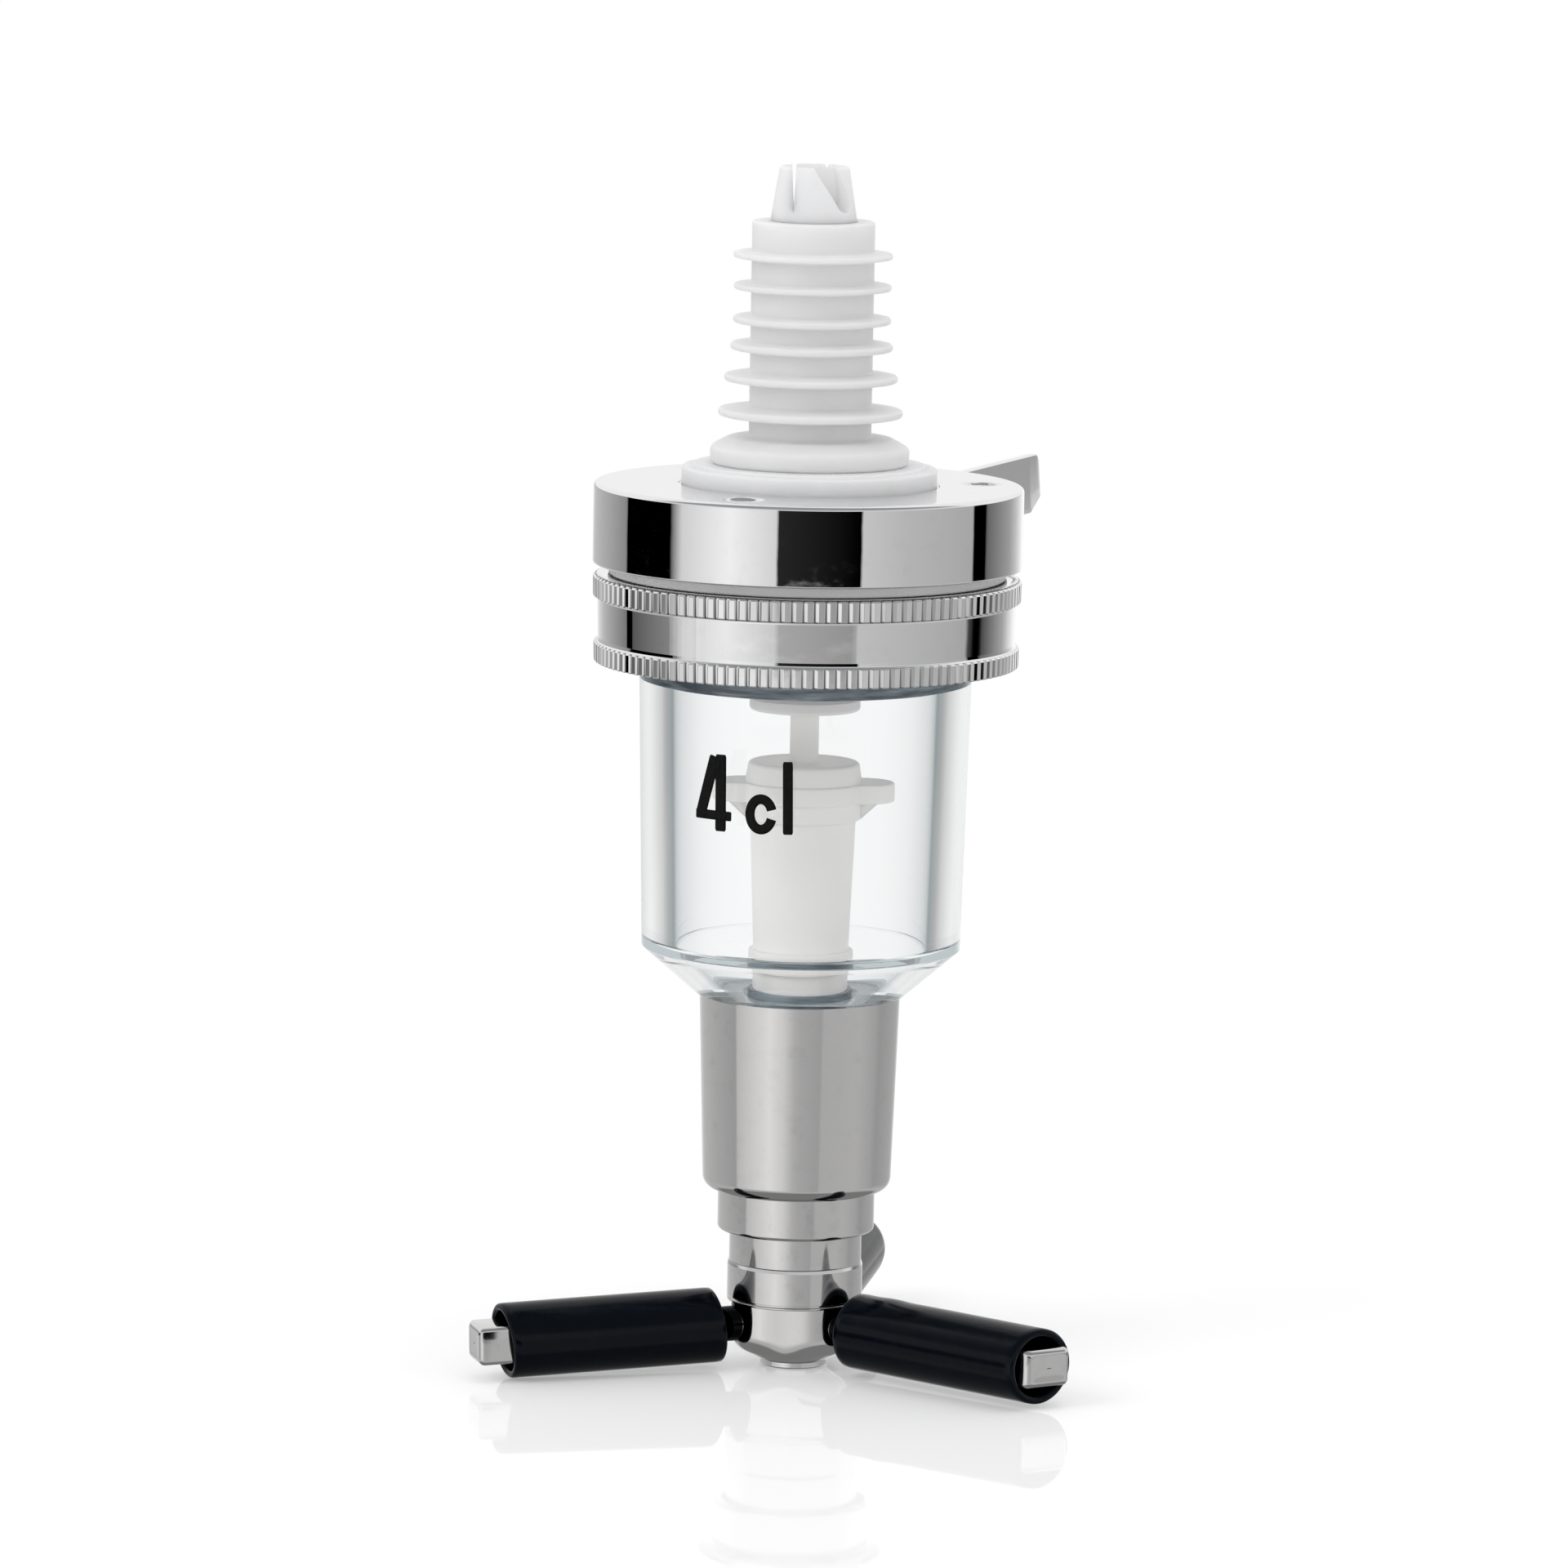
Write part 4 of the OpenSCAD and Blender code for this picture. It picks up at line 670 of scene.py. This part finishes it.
bow = np.radians(np.linspace(BOW_OPEN, 360 - BOW_OPEN, 41))
bow_path = np.stack([BOW_CENTRE[0] + BOW_RIGHT * np.cos(bow), BOW_CENTRE[1] + BOW_UP * np.sin(bow)], 1)
ink, ink_feed, ink_place = finish("black_ink", specular_ior_level=0.1)
fleck = noise(ink_place, 2500.0, 3.0)
ink_feed("Base Color", ramp(fleck, (0.3, (0.004, 0.0038, 0.0036)), (0.8, (0.010, 0.0095, 0.009))))
ink_feed("Roughness", 0.35 + fleck * 0.2)
ink_feed("Normal", bump(fleck, 0.000005))
mark = [*(stroke(*line) for line in NUMBER), ribbon(bow_path, BOW_W + 0 * bow), stroke(*LAST_LETTER)]
piece("dose_mark", [(grid, False, True) for grid in mark], "measure", ink)


# --- Plunger and inlet valve --------------------------
# Warm white mouldings that ride on the lever: a flared tube with a grey-blue soft
# ring round its foot, a vent cap with two wings, and a rod with the inlet's disc.
PLUNGER_R, PLUNGER_TOP_R, TUBE_BORE_R, TUBE_TOP_BORE_R, TUBE_FLOOR_Z = 6.45, 7.3, 5.2, 6.05, 50.5
COLLAR_RING_R, COLLAR_RING_Z, TUBE_Z, TUBE_TOP_Z = 7.1, 56.0, 57.6, 79.2
turned_piece("plunger_body", [
    (0, PLUG_Z, 0), (PLUNGER_R, PLUG_Z, 0.5), (PLUNGER_R, COLLAR_RING_Z, 0.1), (COLLAR_RING_R, COLLAR_RING_Z, 0.2),
    (COLLAR_RING_R, TUBE_Z, 0.25), (PLUNGER_R, TUBE_Z, 0.15), (PLUNGER_TOP_R, TUBE_TOP_Z, 0.1),
    (TUBE_TOP_BORE_R, TUBE_TOP_Z, 0.1), (TUBE_BORE_R, TUBE_FLOOR_Z, 0.3), (0, TUBE_FLOOR_Z, 0)],
    "lever", valve_white, "plunger_tube", sides=128, closed=False)

seal_blue, seal_feed, seal_place = finish("grey_seal")
level = seal_place.node("Mapping", {"vector_type": "POINT"}, {"Vector": seal_place, "Scale": (1, 1, 9)})
# light and dark horizontal streaks in the seal's colour; the light ones are painted reflections along the ring
streak = noise(level, 110.0, 4.0)
seal_feed("Base Color", ramp(streak, (0.40, (0.045, 0.07, 0.09)), (0.62, (0.26, 0.32, 0.36))))
seal_feed("Roughness", 0.16 + streak * 0.2)
seal_feed("Normal", bump(streak, 0.00004))
FOOT_SEAL_R, FOOT_SEAL_BORE_R, FOOT_SEAL_Z, FOOT_SEAL_TOP_Z = 7.15, 6.3, 47.8, 53.4
turned_piece("plunger_foot_seal",
             ring(FOOT_SEAL_BORE_R, FOOT_SEAL_R, FOOT_SEAL_Z, FOOT_SEAL_TOP_Z, 0.1, 0.2, 0.3, 0.1),
             "lever", seal_blue, None)

WING_TURN, WING_REACH, WING_R, VENT_R, VENT_EDGE = math.radians(10.0), 12.4, 3.9, 8.3, 0.3
SKIRT_R, SKIRT_BORE_R, SKIRT_LOW_Z, DOME_R, DOME_TOP_R = 7.75, 7.0, 75.4, 7.9, 7.5
VENT_Z, DOME_Z, VENT_TOP_Z, WEB_R, WEB_HALF = 77.9, 80.5, 83.2, 10.45, 0.6


def winged(heights, insets, columns=240):
    """Flange outline with two wings: at angle t the reach is the farthest of the disc r, the wing's flat sides
    w / |sin t| inside its straight part, and the wing's round end c cos t + sqrt(w^2 - (c sin t)^2)."""
    t = np.arange(columns) * 2 * np.pi / columns
    c = WING_REACH - WING_R
    ct, st = np.abs(np.cos(t)), np.abs(np.sin(t))
    end = c * ct + np.sqrt(np.maximum(WING_R ** 2 - (c * st) ** 2, 0))
    sides = WING_R / np.maximum(st, 1e-6)
    wing = np.where(c * st < WING_R, np.where(sides * ct < c, sides, end), 0)
    reach = np.maximum(VENT_R, wing)
    reach = np.stack([np.roll(reach, k) for k in (-2, -1, 0, 1, 2)]).mean(0)
    r = np.maximum(reach[None] - np.asarray(insets)[:, None], 0)
    z = np.asarray(heights)[:, None] + 0 * r
    return np.stack([r * np.cos(t + WING_TURN), r * np.sin(t + WING_TURN), z], -1)


def web_grid(side):
    """Thin web under a wing: a polygon in the plane of the wing, drawn as rows across its thickness."""
    outline = np.array([[SKIRT_BORE_R, SKIRT_LOW_Z], [SKIRT_R, SKIRT_LOW_Z], [WEB_R, VENT_Z], [WEB_R, VENT_Z + 0.8],
                        [SKIRT_BORE_R, VENT_Z + 0.8]])
    y = np.array([-1, -1, 1, 1]) * WEB_HALF
    centre = outline.mean(0)
    rows = centre + (outline[None] - centre) * np.array([0, 1, 1, 0])[:, None, None]
    x, z = side * rows[..., 0], rows[..., 1]
    return spun(x, y[:, None] + 0 * x, z, WING_TURN)


q = np.linspace(0, np.pi / 2, 5)
vent_flange = winged(
    np.concatenate([[VENT_Z] * 2, VENT_Z + VENT_EDGE * (1 - np.cos(q)), DOME_Z - VENT_EDGE * (1 - np.cos(q[::-1])),
                    [DOME_Z] * 2]),
    np.concatenate([[20, VENT_EDGE + 0.05], VENT_EDGE * (1 - np.sin(q)), VENT_EDGE * (1 - np.sin(q[::-1])),
                    [VENT_EDGE + 0.05, 20]]))
vent_skirt = turned(rounded(ring(SKIRT_BORE_R, SKIRT_R, SKIRT_LOW_Z, VENT_Z + 0.5, 0.05, 0.2, 0.1, 0.1)), 128)
vent_dome = turned(rounded([
    (0, DOME_Z - 0.5, 0), (DOME_R, DOME_Z - 0.5, 0.1), (DOME_R, DOME_Z, 0.05), (DOME_TOP_R, VENT_TOP_Z, 0.6),
    (0, VENT_TOP_Z, 0)], closed=False), 128)
piece("vent_cover", [(vent_flange, False, True), (vent_skirt, True, True), (vent_dome, False, True),
                     (web_grid(1), False, True), (web_grid(-1), False, True)],
      "lever", valve_white, ["vent_cap"])

ROD_R, ROD_Z, DISC_R, DISC_BORE_R, DISC_Z, DISC_TOP_Z, DISC_SEAL_H = 1.95, 81.3, 7.5, 1.9, 90.2, 91.8, 1.0
turned_piece("inlet_rod", ring(0, ROD_R, ROD_Z, DISC_TOP_Z, 0, 0.1, 0.1, 0),
             "lever", valve_white, "valve_rod", sides=64, closed=False)
turned_piece("inlet_disc", ring(DISC_BORE_R, DISC_R, DISC_Z, DISC_TOP_Z, 0.1, 0.5, 0.1, 0.1),
             "lever", valve_white, "inlet_valve", sides=128)
pale_rubber = moulded("pale_rubber", (0.55, 0.55, 0.54), (0.62, 0.62, 0.61), 0.45, 0.6, 0.00004)
turned_piece("inlet_disc_seal", ring(0, DISC_R, DISC_TOP_Z, DISC_TOP_Z + DISC_SEAL_H, 0, 0.05, 0.2, 0),
             "lever", pale_rubber, "inlet_valve_seal", sides=128, closed=False)


# --- Collar -------------------------------------------
# Moulded ring with mirror-bright plating, screwed up over the inlet head. It has
# a plain band between two knurls, and a mould seam runs down the band.
COLLAR_Z, BAND_Z, BAND_TOP_Z, COLLAR_TOP_Z, COLLAR_BORE_R, COLLAR_LIP_R = 96.4, 99.05, 105.1, 108.2, 25.2, 22.75
BAND_R, KNURL_LOW_R, KNURL_TOP_R, TEETH, KNURL_DEPTH, BAND_DRAFT = 28.2, 28.7, 28.9, 120, 0.34, 0.02
SEAM_TURN, SEAM_HALF, SEAM_RISE = math.radians(-111.0), math.radians(0.5), 0.03


def knurled():
    """Collar's surface (r(z, t) cos t, r sin t, z). In the knurls' rows each tooth rises over a ramp that faces left,
    has a flat top and drops steeply; in the other rows r is plain. The band and the knurls widen a little upwards, as
    they leave their mould, and the band's foot has a fillet. The inside is the plain bore."""
    share = np.array([0.0, 0.03, 0.37, 0.40, 0.43, 0.89, 0.92, 0.985])
    groove = np.tile([1.0, 0.925, 0.075, 0.0, 0.0, 0.0, 0.0, 1.0], TEETH)
    t = ((np.arange(TEETH)[:, None] + share) * 2 * np.pi / TEETH).ravel()
    middle, top, low = (BAND_Z + BAND_TOP_Z) / 2, (COLLAR_TOP_Z + BAND_TOP_Z) / 2, (BAND_Z + COLLAR_Z) / 2
    rows = [  # radius, height, groove depth, height where the draft is nil
        (COLLAR_BORE_R, COLLAR_TOP_Z, 0, 0), (27.9, COLLAR_TOP_Z, 0, 0), (27.95, COLLAR_TOP_Z, 0, 0),
        (28.4, COLLAR_TOP_Z - 0.02, 0.1, 0), (28.72, COLLAR_TOP_Z - 0.18, 0.7, 0),
        (KNURL_TOP_R, COLLAR_TOP_Z - 0.38, 1, top), (KNURL_TOP_R, COLLAR_TOP_Z - 0.44, 1, top),
        (KNURL_TOP_R, BAND_TOP_Z + 0.24, 1, top), (KNURL_TOP_R, BAND_TOP_Z + 0.18, 1, top),
        (28.6, BAND_TOP_Z + 0.02, 0.5, 0), (28.4, BAND_TOP_Z, 0, 0),
        (BAND_R + 0.02, BAND_TOP_Z - 0.02, 0, middle), (BAND_R, BAND_TOP_Z - 0.08, 0, middle),
        (BAND_R, BAND_TOP_Z - 0.3, 0, middle), (BAND_R, BAND_Z + 0.75, 0, middle), (BAND_R, BAND_Z + 0.70, 0, middle),
        (BAND_R + 0.007, BAND_Z + 0.50, 0, middle), (BAND_R + 0.018, BAND_Z + 0.28, 0, middle),
        (BAND_R + 0.035, BAND_Z + 0.14, 0, middle), (BAND_R + 0.10, BAND_Z + 0.04, 0, middle), (28.4, BAND_Z, 0, 0),
        (28.55, BAND_Z - 0.02, 0.5, 0), (KNURL_LOW_R, BAND_Z - 0.18, 1, low), (KNURL_LOW_R, BAND_Z - 0.24, 1, low),
        (KNURL_LOW_R, COLLAR_Z + 0.16, 1, low), (KNURL_LOW_R, COLLAR_Z + 0.1, 1, low),
        (28.5, COLLAR_Z, 0.6, 0), (28.1, COLLAR_Z, 0, 0), (28.0, COLLAR_Z, 0, 0),
        (COLLAR_LIP_R + 0.1, COLLAR_Z, 0, 0), (COLLAR_LIP_R, COLLAR_Z + 0.05, 0, 0),
        (COLLAR_LIP_R, FLANGE_Z - 0.05, 0, 0), (COLLAR_LIP_R + 0.05, FLANGE_Z, 0, 0),
        (COLLAR_BORE_R - 0.05, FLANGE_Z, 0, 0), (COLLAR_BORE_R, FLANGE_Z + 0.05, 0, 0)]
    r, z, depth, nil = np.array(rows).T
    r = r + np.where(nil > 0, BAND_DRAFT * (z - nil), 0)
    seam = SEAM_RISE * np.exp(-((np.angle(np.exp(1j * (t - SEAM_TURN)))) / SEAM_HALF) ** 2)
    radius = r[:, None] - KNURL_DEPTH * depth[:, None] * groove + (nil == middle)[:, None] * seam
    return np.stack([radius * np.cos(t), radius * np.sin(t), z[:, None] + 0 * t], -1)


def groove_shade(place):
    """Up to 0.75 at the bottom of the knurls' grooves, where little light gets in, and 0 on the band between them."""
    height = place.node("SeparateXYZ", inputs={0: place}, output=2)
    upper, lower = height.maths("GREATER_THAN", BAND_TOP_Z * MM), height.maths("LESS_THAN", BAND_Z * MM)
    reach = reach_of(place) - upper * ((KNURL_TOP_R - KNURL_LOW_R) * MM)
    floor_of_groove = KNURL_LOW_R - KNURL_DEPTH
    deep = rise(reach, (KNURL_LOW_R - 0.19) * MM, (floor_of_groove + 0.02) * MM)
    on_side = reach.maths("GREATER_THAN", (floor_of_groove - 0.12) * MM)
    return deep * on_side * (upper + lower) * 0.75


CHROME = (0.90, 0.90, 0.905)
collar_chrome = plated("collar_chrome", CHROME, 0.006, 0.000011, 0.03, groove_shade)
piece("collar_ring", [(knurled(), True, True)], "measure", collar_chrome, ["collar"])


# --- Inlet head and its seal --------------------------
# White moulding that closes the chamber's top and carries the cork; a grey-blue
# soft ring seals it on the chamber.
INLET_Z, HEAD_Z, CAP_Z, CORK_Z, NOZZLE_R = 97.05, 102.1, 109.7, 123.3, 5.0
HEAD_BORE_R, BOSS_R, SHAFT_R = 4.6, 11.0, 9.0
head_white = moulded("head_plastic", (0.84, 0.84, 0.84), (0.88, 0.88, 0.88), 0.25, 0.4, 0.00002)
turned_piece("head_moulding", [
    (HEAD_BORE_R, INLET_Z, 0.4), (BOSS_R, INLET_Z, 0.5), (BOSS_R, HEAD_Z, 0.1), (COLLAR_BORE_R, HEAD_Z, 0.1),
    (COLLAR_BORE_R, COLLAR_TOP_Z, 0.1), (SHAFT_R, COLLAR_TOP_Z, 0.1), (SHAFT_R, CORK_Z, 0.1), (NOZZLE_R, CORK_Z, 0.1),
    (NOZZLE_R, CAP_Z, 0.1), (HEAD_BORE_R, CAP_Z, 0.1)],
    "measure", head_white, "inlet_head")

# the skirt is pressed against the chamber's wall, which takes it as one with the plastic
SEAL_Z, SEAL_WALL, PRESSED = 93.6, 2.5, 0.05
top_r = CHAMBER_TOP_R - CHAMBER_WALL
seal_r = top_r - CHAMBER_DRAFT * (FLANGE_TOP_Z - SEAL_Z) / (FLANGE_TOP_Z - INNER_CORNER_Z)
turned_piece("chamber_gasket", [
    (BOSS_R, FLANGE_TOP_Z, 0.1), (top_r - SEAL_WALL, FLANGE_TOP_Z, 0.2), (seal_r - SEAL_WALL, SEAL_Z, 0.3),
    (seal_r + PRESSED, SEAL_Z, 0.3), (top_r + PRESSED, FLANGE_TOP_Z, 0.05), (FLANGE_R, FLANGE_TOP_Z, 0.2),
    (FLANGE_R, HEAD_Z, 0.2), (BOSS_R, HEAD_Z, 0.1)],
    "measure", seal_blue, "chamber_seal", sides=256)


# --- Cap and its gasket -------------------------------
# Mirror-plated moulding held down by three small screws in dimples, with a fork
# of two blades for a bar bracket. A pale soft gasket lies under it.
GASKET_R, GASKET_BORE_R = 26.8, 19.7
gasket_grey = moulded("gasket_grey", (0.74, 0.74, 0.73), (0.80, 0.80, 0.79), 0.4, 0.55, 0.00005)
turned_piece("cap_washer", ring(GASKET_BORE_R, GASKET_R, COLLAR_TOP_Z, CAP_Z, 0.1, 0.3, 0.3, 0.1),
             "measure", gasket_grey, "cap_gasket")

CAP_R, CAP_EDGE, CAP_TOP_Z, CAP_BORE_R, CAP_TOP_T, FORK_TURN = 29.0, 0.6, 120.6, 25.0, 2.5, math.radians(78.0)
SCREW_RING, DIMPLE_R, DIMPLE_DEPTH, DIMPLE_WALL = 23.5, 3.0, 0.55, 0.3
RECESS_R, RECESS_DEPTH = 17.6, 0.5


def cap_grid():
    """Cap: the rounded profile turned about Z, with close rows where the dimples lie. Each dimple is a dish in the top
    face: at distance d from a screw the face drops by the dimple's depth over a short steep wall inside its rim."""
    profile = rounded([
        (CAP_BORE_R, CAP_Z, 0.2), (CAP_R, CAP_Z, 0.25), (CAP_R, CAP_TOP_Z, CAP_EDGE), (RECESS_R, CAP_TOP_Z, 0.1),
        (RECESS_R, CAP_TOP_Z - RECESS_DEPTH, 0.1), (SHAFT_R, CAP_TOP_Z - RECESS_DEPTH, 0.1),
        (SHAFT_R, CAP_TOP_Z - CAP_TOP_T, 0.2), (CAP_BORE_R, CAP_TOP_Z - CAP_TOP_T, 0.2)])
    step = BEND_STEPS + 3
    dimples = SCREW_RING + (DIMPLE_R + 0.2) * np.linspace(1, -1, 58)
    top = np.concatenate([[CAP_R - CAP_EDGE - 0.05], dimples, [RECESS_R + 0.2]])
    top = np.stack([top, np.full(len(top), CAP_TOP_Z)], 1)
    grid = turned(np.concatenate([profile[:3 * step], top, profile[3 * step:]]), 768)
    on_top = grid[..., 2] > CAP_TOP_Z - 1e-6
    for k in range(3):
        a = FORK_TURN + math.radians(60 + 120 * k)
        d = np.hypot(grid[..., 0] - SCREW_RING * math.cos(a), grid[..., 1] - SCREW_RING * math.sin(a))
        grid[..., 2] -= on_top * DIMPLE_DEPTH * np.clip((DIMPLE_R - d) / DIMPLE_WALL, 0, 1)
    return grid


FORK_REACH, FORK_OFFSET, BLADE_T, BLADE_H, BLADE_TOP_Z, FILLET = 55.7, 12.3, 2.0, 8.05, 120.45, 2.5
BLADE_DRAFT, TIP_ROUND, TIP_SLANT, TIP_RISE = 0.062, 1.2, 3.85, 1.9


def blade_grid(side):
    """Blade of the fork: rounded sections carried along X from inside the cap to the end. The faces at y flare by
    F - sqrt(F^2 - (F - g)^2) at distance g from the cap's side, the lower edge rises over the slant and the upper
    corner falls on a quarter round."""
    root = math.sqrt(CAP_R ** 2 - FORK_OFFSET ** 2)
    x = np.concatenate([
        [root - 2.5], root + np.array([-0.8, -0.2, 0.1, 0.3, 0.6, 1.0, 1.5, 2.1, 2.8, 3.6]),
        np.linspace(root + 5, FORK_REACH - 4.2, 6), np.linspace(FORK_REACH - TIP_SLANT, FORK_REACH - 1.25, 6),
        FORK_REACH - TIP_ROUND + TIP_ROUND * np.sin(np.linspace(0.1, 1.0, 8) * np.pi / 2 * 0.93), [FORK_REACH]])

    def flare(y, sign):
        wall = np.sqrt(CAP_R ** 2 - y ** 2)
        g = np.clip(x - wall, 0, FILLET)
        return sign * (FILLET - np.sqrt(FILLET ** 2 - (FILLET - g) ** 2))

    outer = FORK_OFFSET + flare(FORK_OFFSET + 1.0, 1)
    inner = FORK_OFFSET - BLADE_T + flare(FORK_OFFSET - BLADE_T - 1.0, -1)
    low = BLADE_TOP_Z - BLADE_H + np.interp(x, [FORK_REACH - TIP_SLANT, FORK_REACH], [0, TIP_RISE])
    past = np.clip(x - (FORK_REACH - TIP_ROUND), 0, TIP_ROUND)
    high = BLADE_TOP_Z - (TIP_ROUND - np.sqrt(np.maximum(TIP_ROUND ** 2 - past ** 2, 0)))
    high = np.where(x < root, high - 0.05, high)
    section = np.sign(box_section(1, 1, 0.2, 3))
    bend = box_section(1, 1, 0.22, 3) - section
    z = (high + low)[:, None] / 2 + section[:, 1] * (high - low)[:, None] / 2 + bend[:, 1]
    draft = 1 - BLADE_DRAFT * (z - BLADE_TOP_Z + BLADE_H / 2)
    y = (outer + inner)[:, None] / 2 + (section[:, 0] * (outer - inner)[:, None] / 2 + bend[:, 0]) * draft
    rows = np.stack([x[:, None] + 0 * y, y, z], -1)
    last = rows[-1:].copy()
    middle = last.mean(1, keepdims=True)
    first = rows[:1].mean(1, keepdims=True) + 0 * rows[:1]
    rows = np.concatenate([first, rows, middle + (last - middle) * 0.9, middle + 0 * last])
    return spun(rows[..., 0], rows[..., 1] * side, rows[..., 2], FORK_TURN)


mirror = plated("mirror_chrome", CHROME, 0.006, 0.000011, 0.03)
piece("cap_shell", [(cap_grid(), True, True), (blade_grid(1), False, True), (blade_grid(-1), False, True)],
      "measure", mirror, ["top_cap"])
refinish("cap_screws", steel)


# --- Seat flange, cork and inlet nozzle ---------------
# Soft white plastic, a little translucent. The cork's fins grip the bottle's
# neck; the nozzle stands up through it with a slotted nose.
def soft_white(name, low, high, depth, painted_glow):
    """Translucent white moulding: light spreads under the skin, which is satin and faintly uneven, and a faint painted
    glow stands for the light that comes through from behind."""
    return moulded(
        name, low, high, 0.34, 0.46, depth, (150.0, 1100.0), 4.0, subsurface_weight=0.8,
        subsurface_radius=(1.0, 0.97, 0.95), subsurface_scale=0.006, emission_color=(1.0, 0.995, 0.99, 1),
        emission_strength=painted_glow)


nozzle_white = soft_white("nozzle_plastic", (0.82, 0.82, 0.82), (0.86, 0.86, 0.86), 0.00002, 0.02)
SEAT_R, SEAT_STEP_R, SEAT_STEP_H = 17.2, 15.7, 0.4
turned_piece("seat_ring", [
    (SHAFT_R, CAP_TOP_Z - RECESS_DEPTH, 0.1), (SEAT_R, CAP_TOP_Z - RECESS_DEPTH, 0.2),
    (SEAT_R, CORK_Z - SEAT_STEP_H, 0.35), (SEAT_STEP_R, CORK_Z - SEAT_STEP_H, 0.1), (SEAT_STEP_R, CORK_Z, 0.15),
    (SHAFT_R, CORK_Z, 0.1)],
    "measure", nozzle_white, "seat_flange")
refinish("inlet_nozzle", nozzle_white)

CORK_R, CORK_TOP_Z = 8.25, 156.0
CORK_FLANGE_R, CORK_FLANGE_H, CORK_FLANGE_SIDE, CORK_FLANGE_TOP_R = 13.4, 3.6, 2.3, 11.0
FIN_START, FIN_SPAN, FIN_R, FIN_HALF = 6.95, 21.15, 12.4, 0.8
FIN_PLACES = CORK_Z + FIN_START + FIN_SPAN * np.array([0, 0.22, 0.42, 0.59, 0.8, 1])
FIN_RADII = FIN_R * np.array([1, 0.94, 0.88, 0.855, 0.855, 0.863])
FIN_HALVES = FIN_HALF * np.array([1, 0.9, 0.88, 0.8, 0.7, 0.7])


def cork_profile():
    """Cork's outline from the bore's foot outwards and up: a full round base flange, then each fin as a thin lip that
    leaves the body with a small fillet and has a round rim, then the chamfered top and back down the bore."""
    corners = [(NOZZLE_R, CORK_Z, 0.1), (CORK_FLANGE_R, CORK_Z, 0.7), (CORK_FLANGE_R, CORK_Z + CORK_FLANGE_SIDE, 0.9),
               (CORK_FLANGE_TOP_R, CORK_Z + CORK_FLANGE_H, 1.4), (CORK_R, CORK_Z + CORK_FLANGE_H, 0.5)]
    for z, r, h in zip(FIN_PLACES, FIN_RADII, FIN_HALVES):
        root, rim = h * 1.15, h * 0.6
        corners += [(CORK_R, z - root, 0.35), (r, z - rim, h * 0.55), (r, z + rim, h * 0.55), (CORK_R, z + root, 0.35)]
    return corners + [(CORK_R, CORK_TOP_Z, 0.35), (NOZZLE_R, CORK_TOP_Z, 0.1)]


cork_white = soft_white("cork_plastic", (0.76, 0.757, 0.755), (0.79, 0.787, 0.785), 0.00003, 0.03)
turned_piece("cork_body", cork_profile(), "measure", cork_white, "bottle_cork")
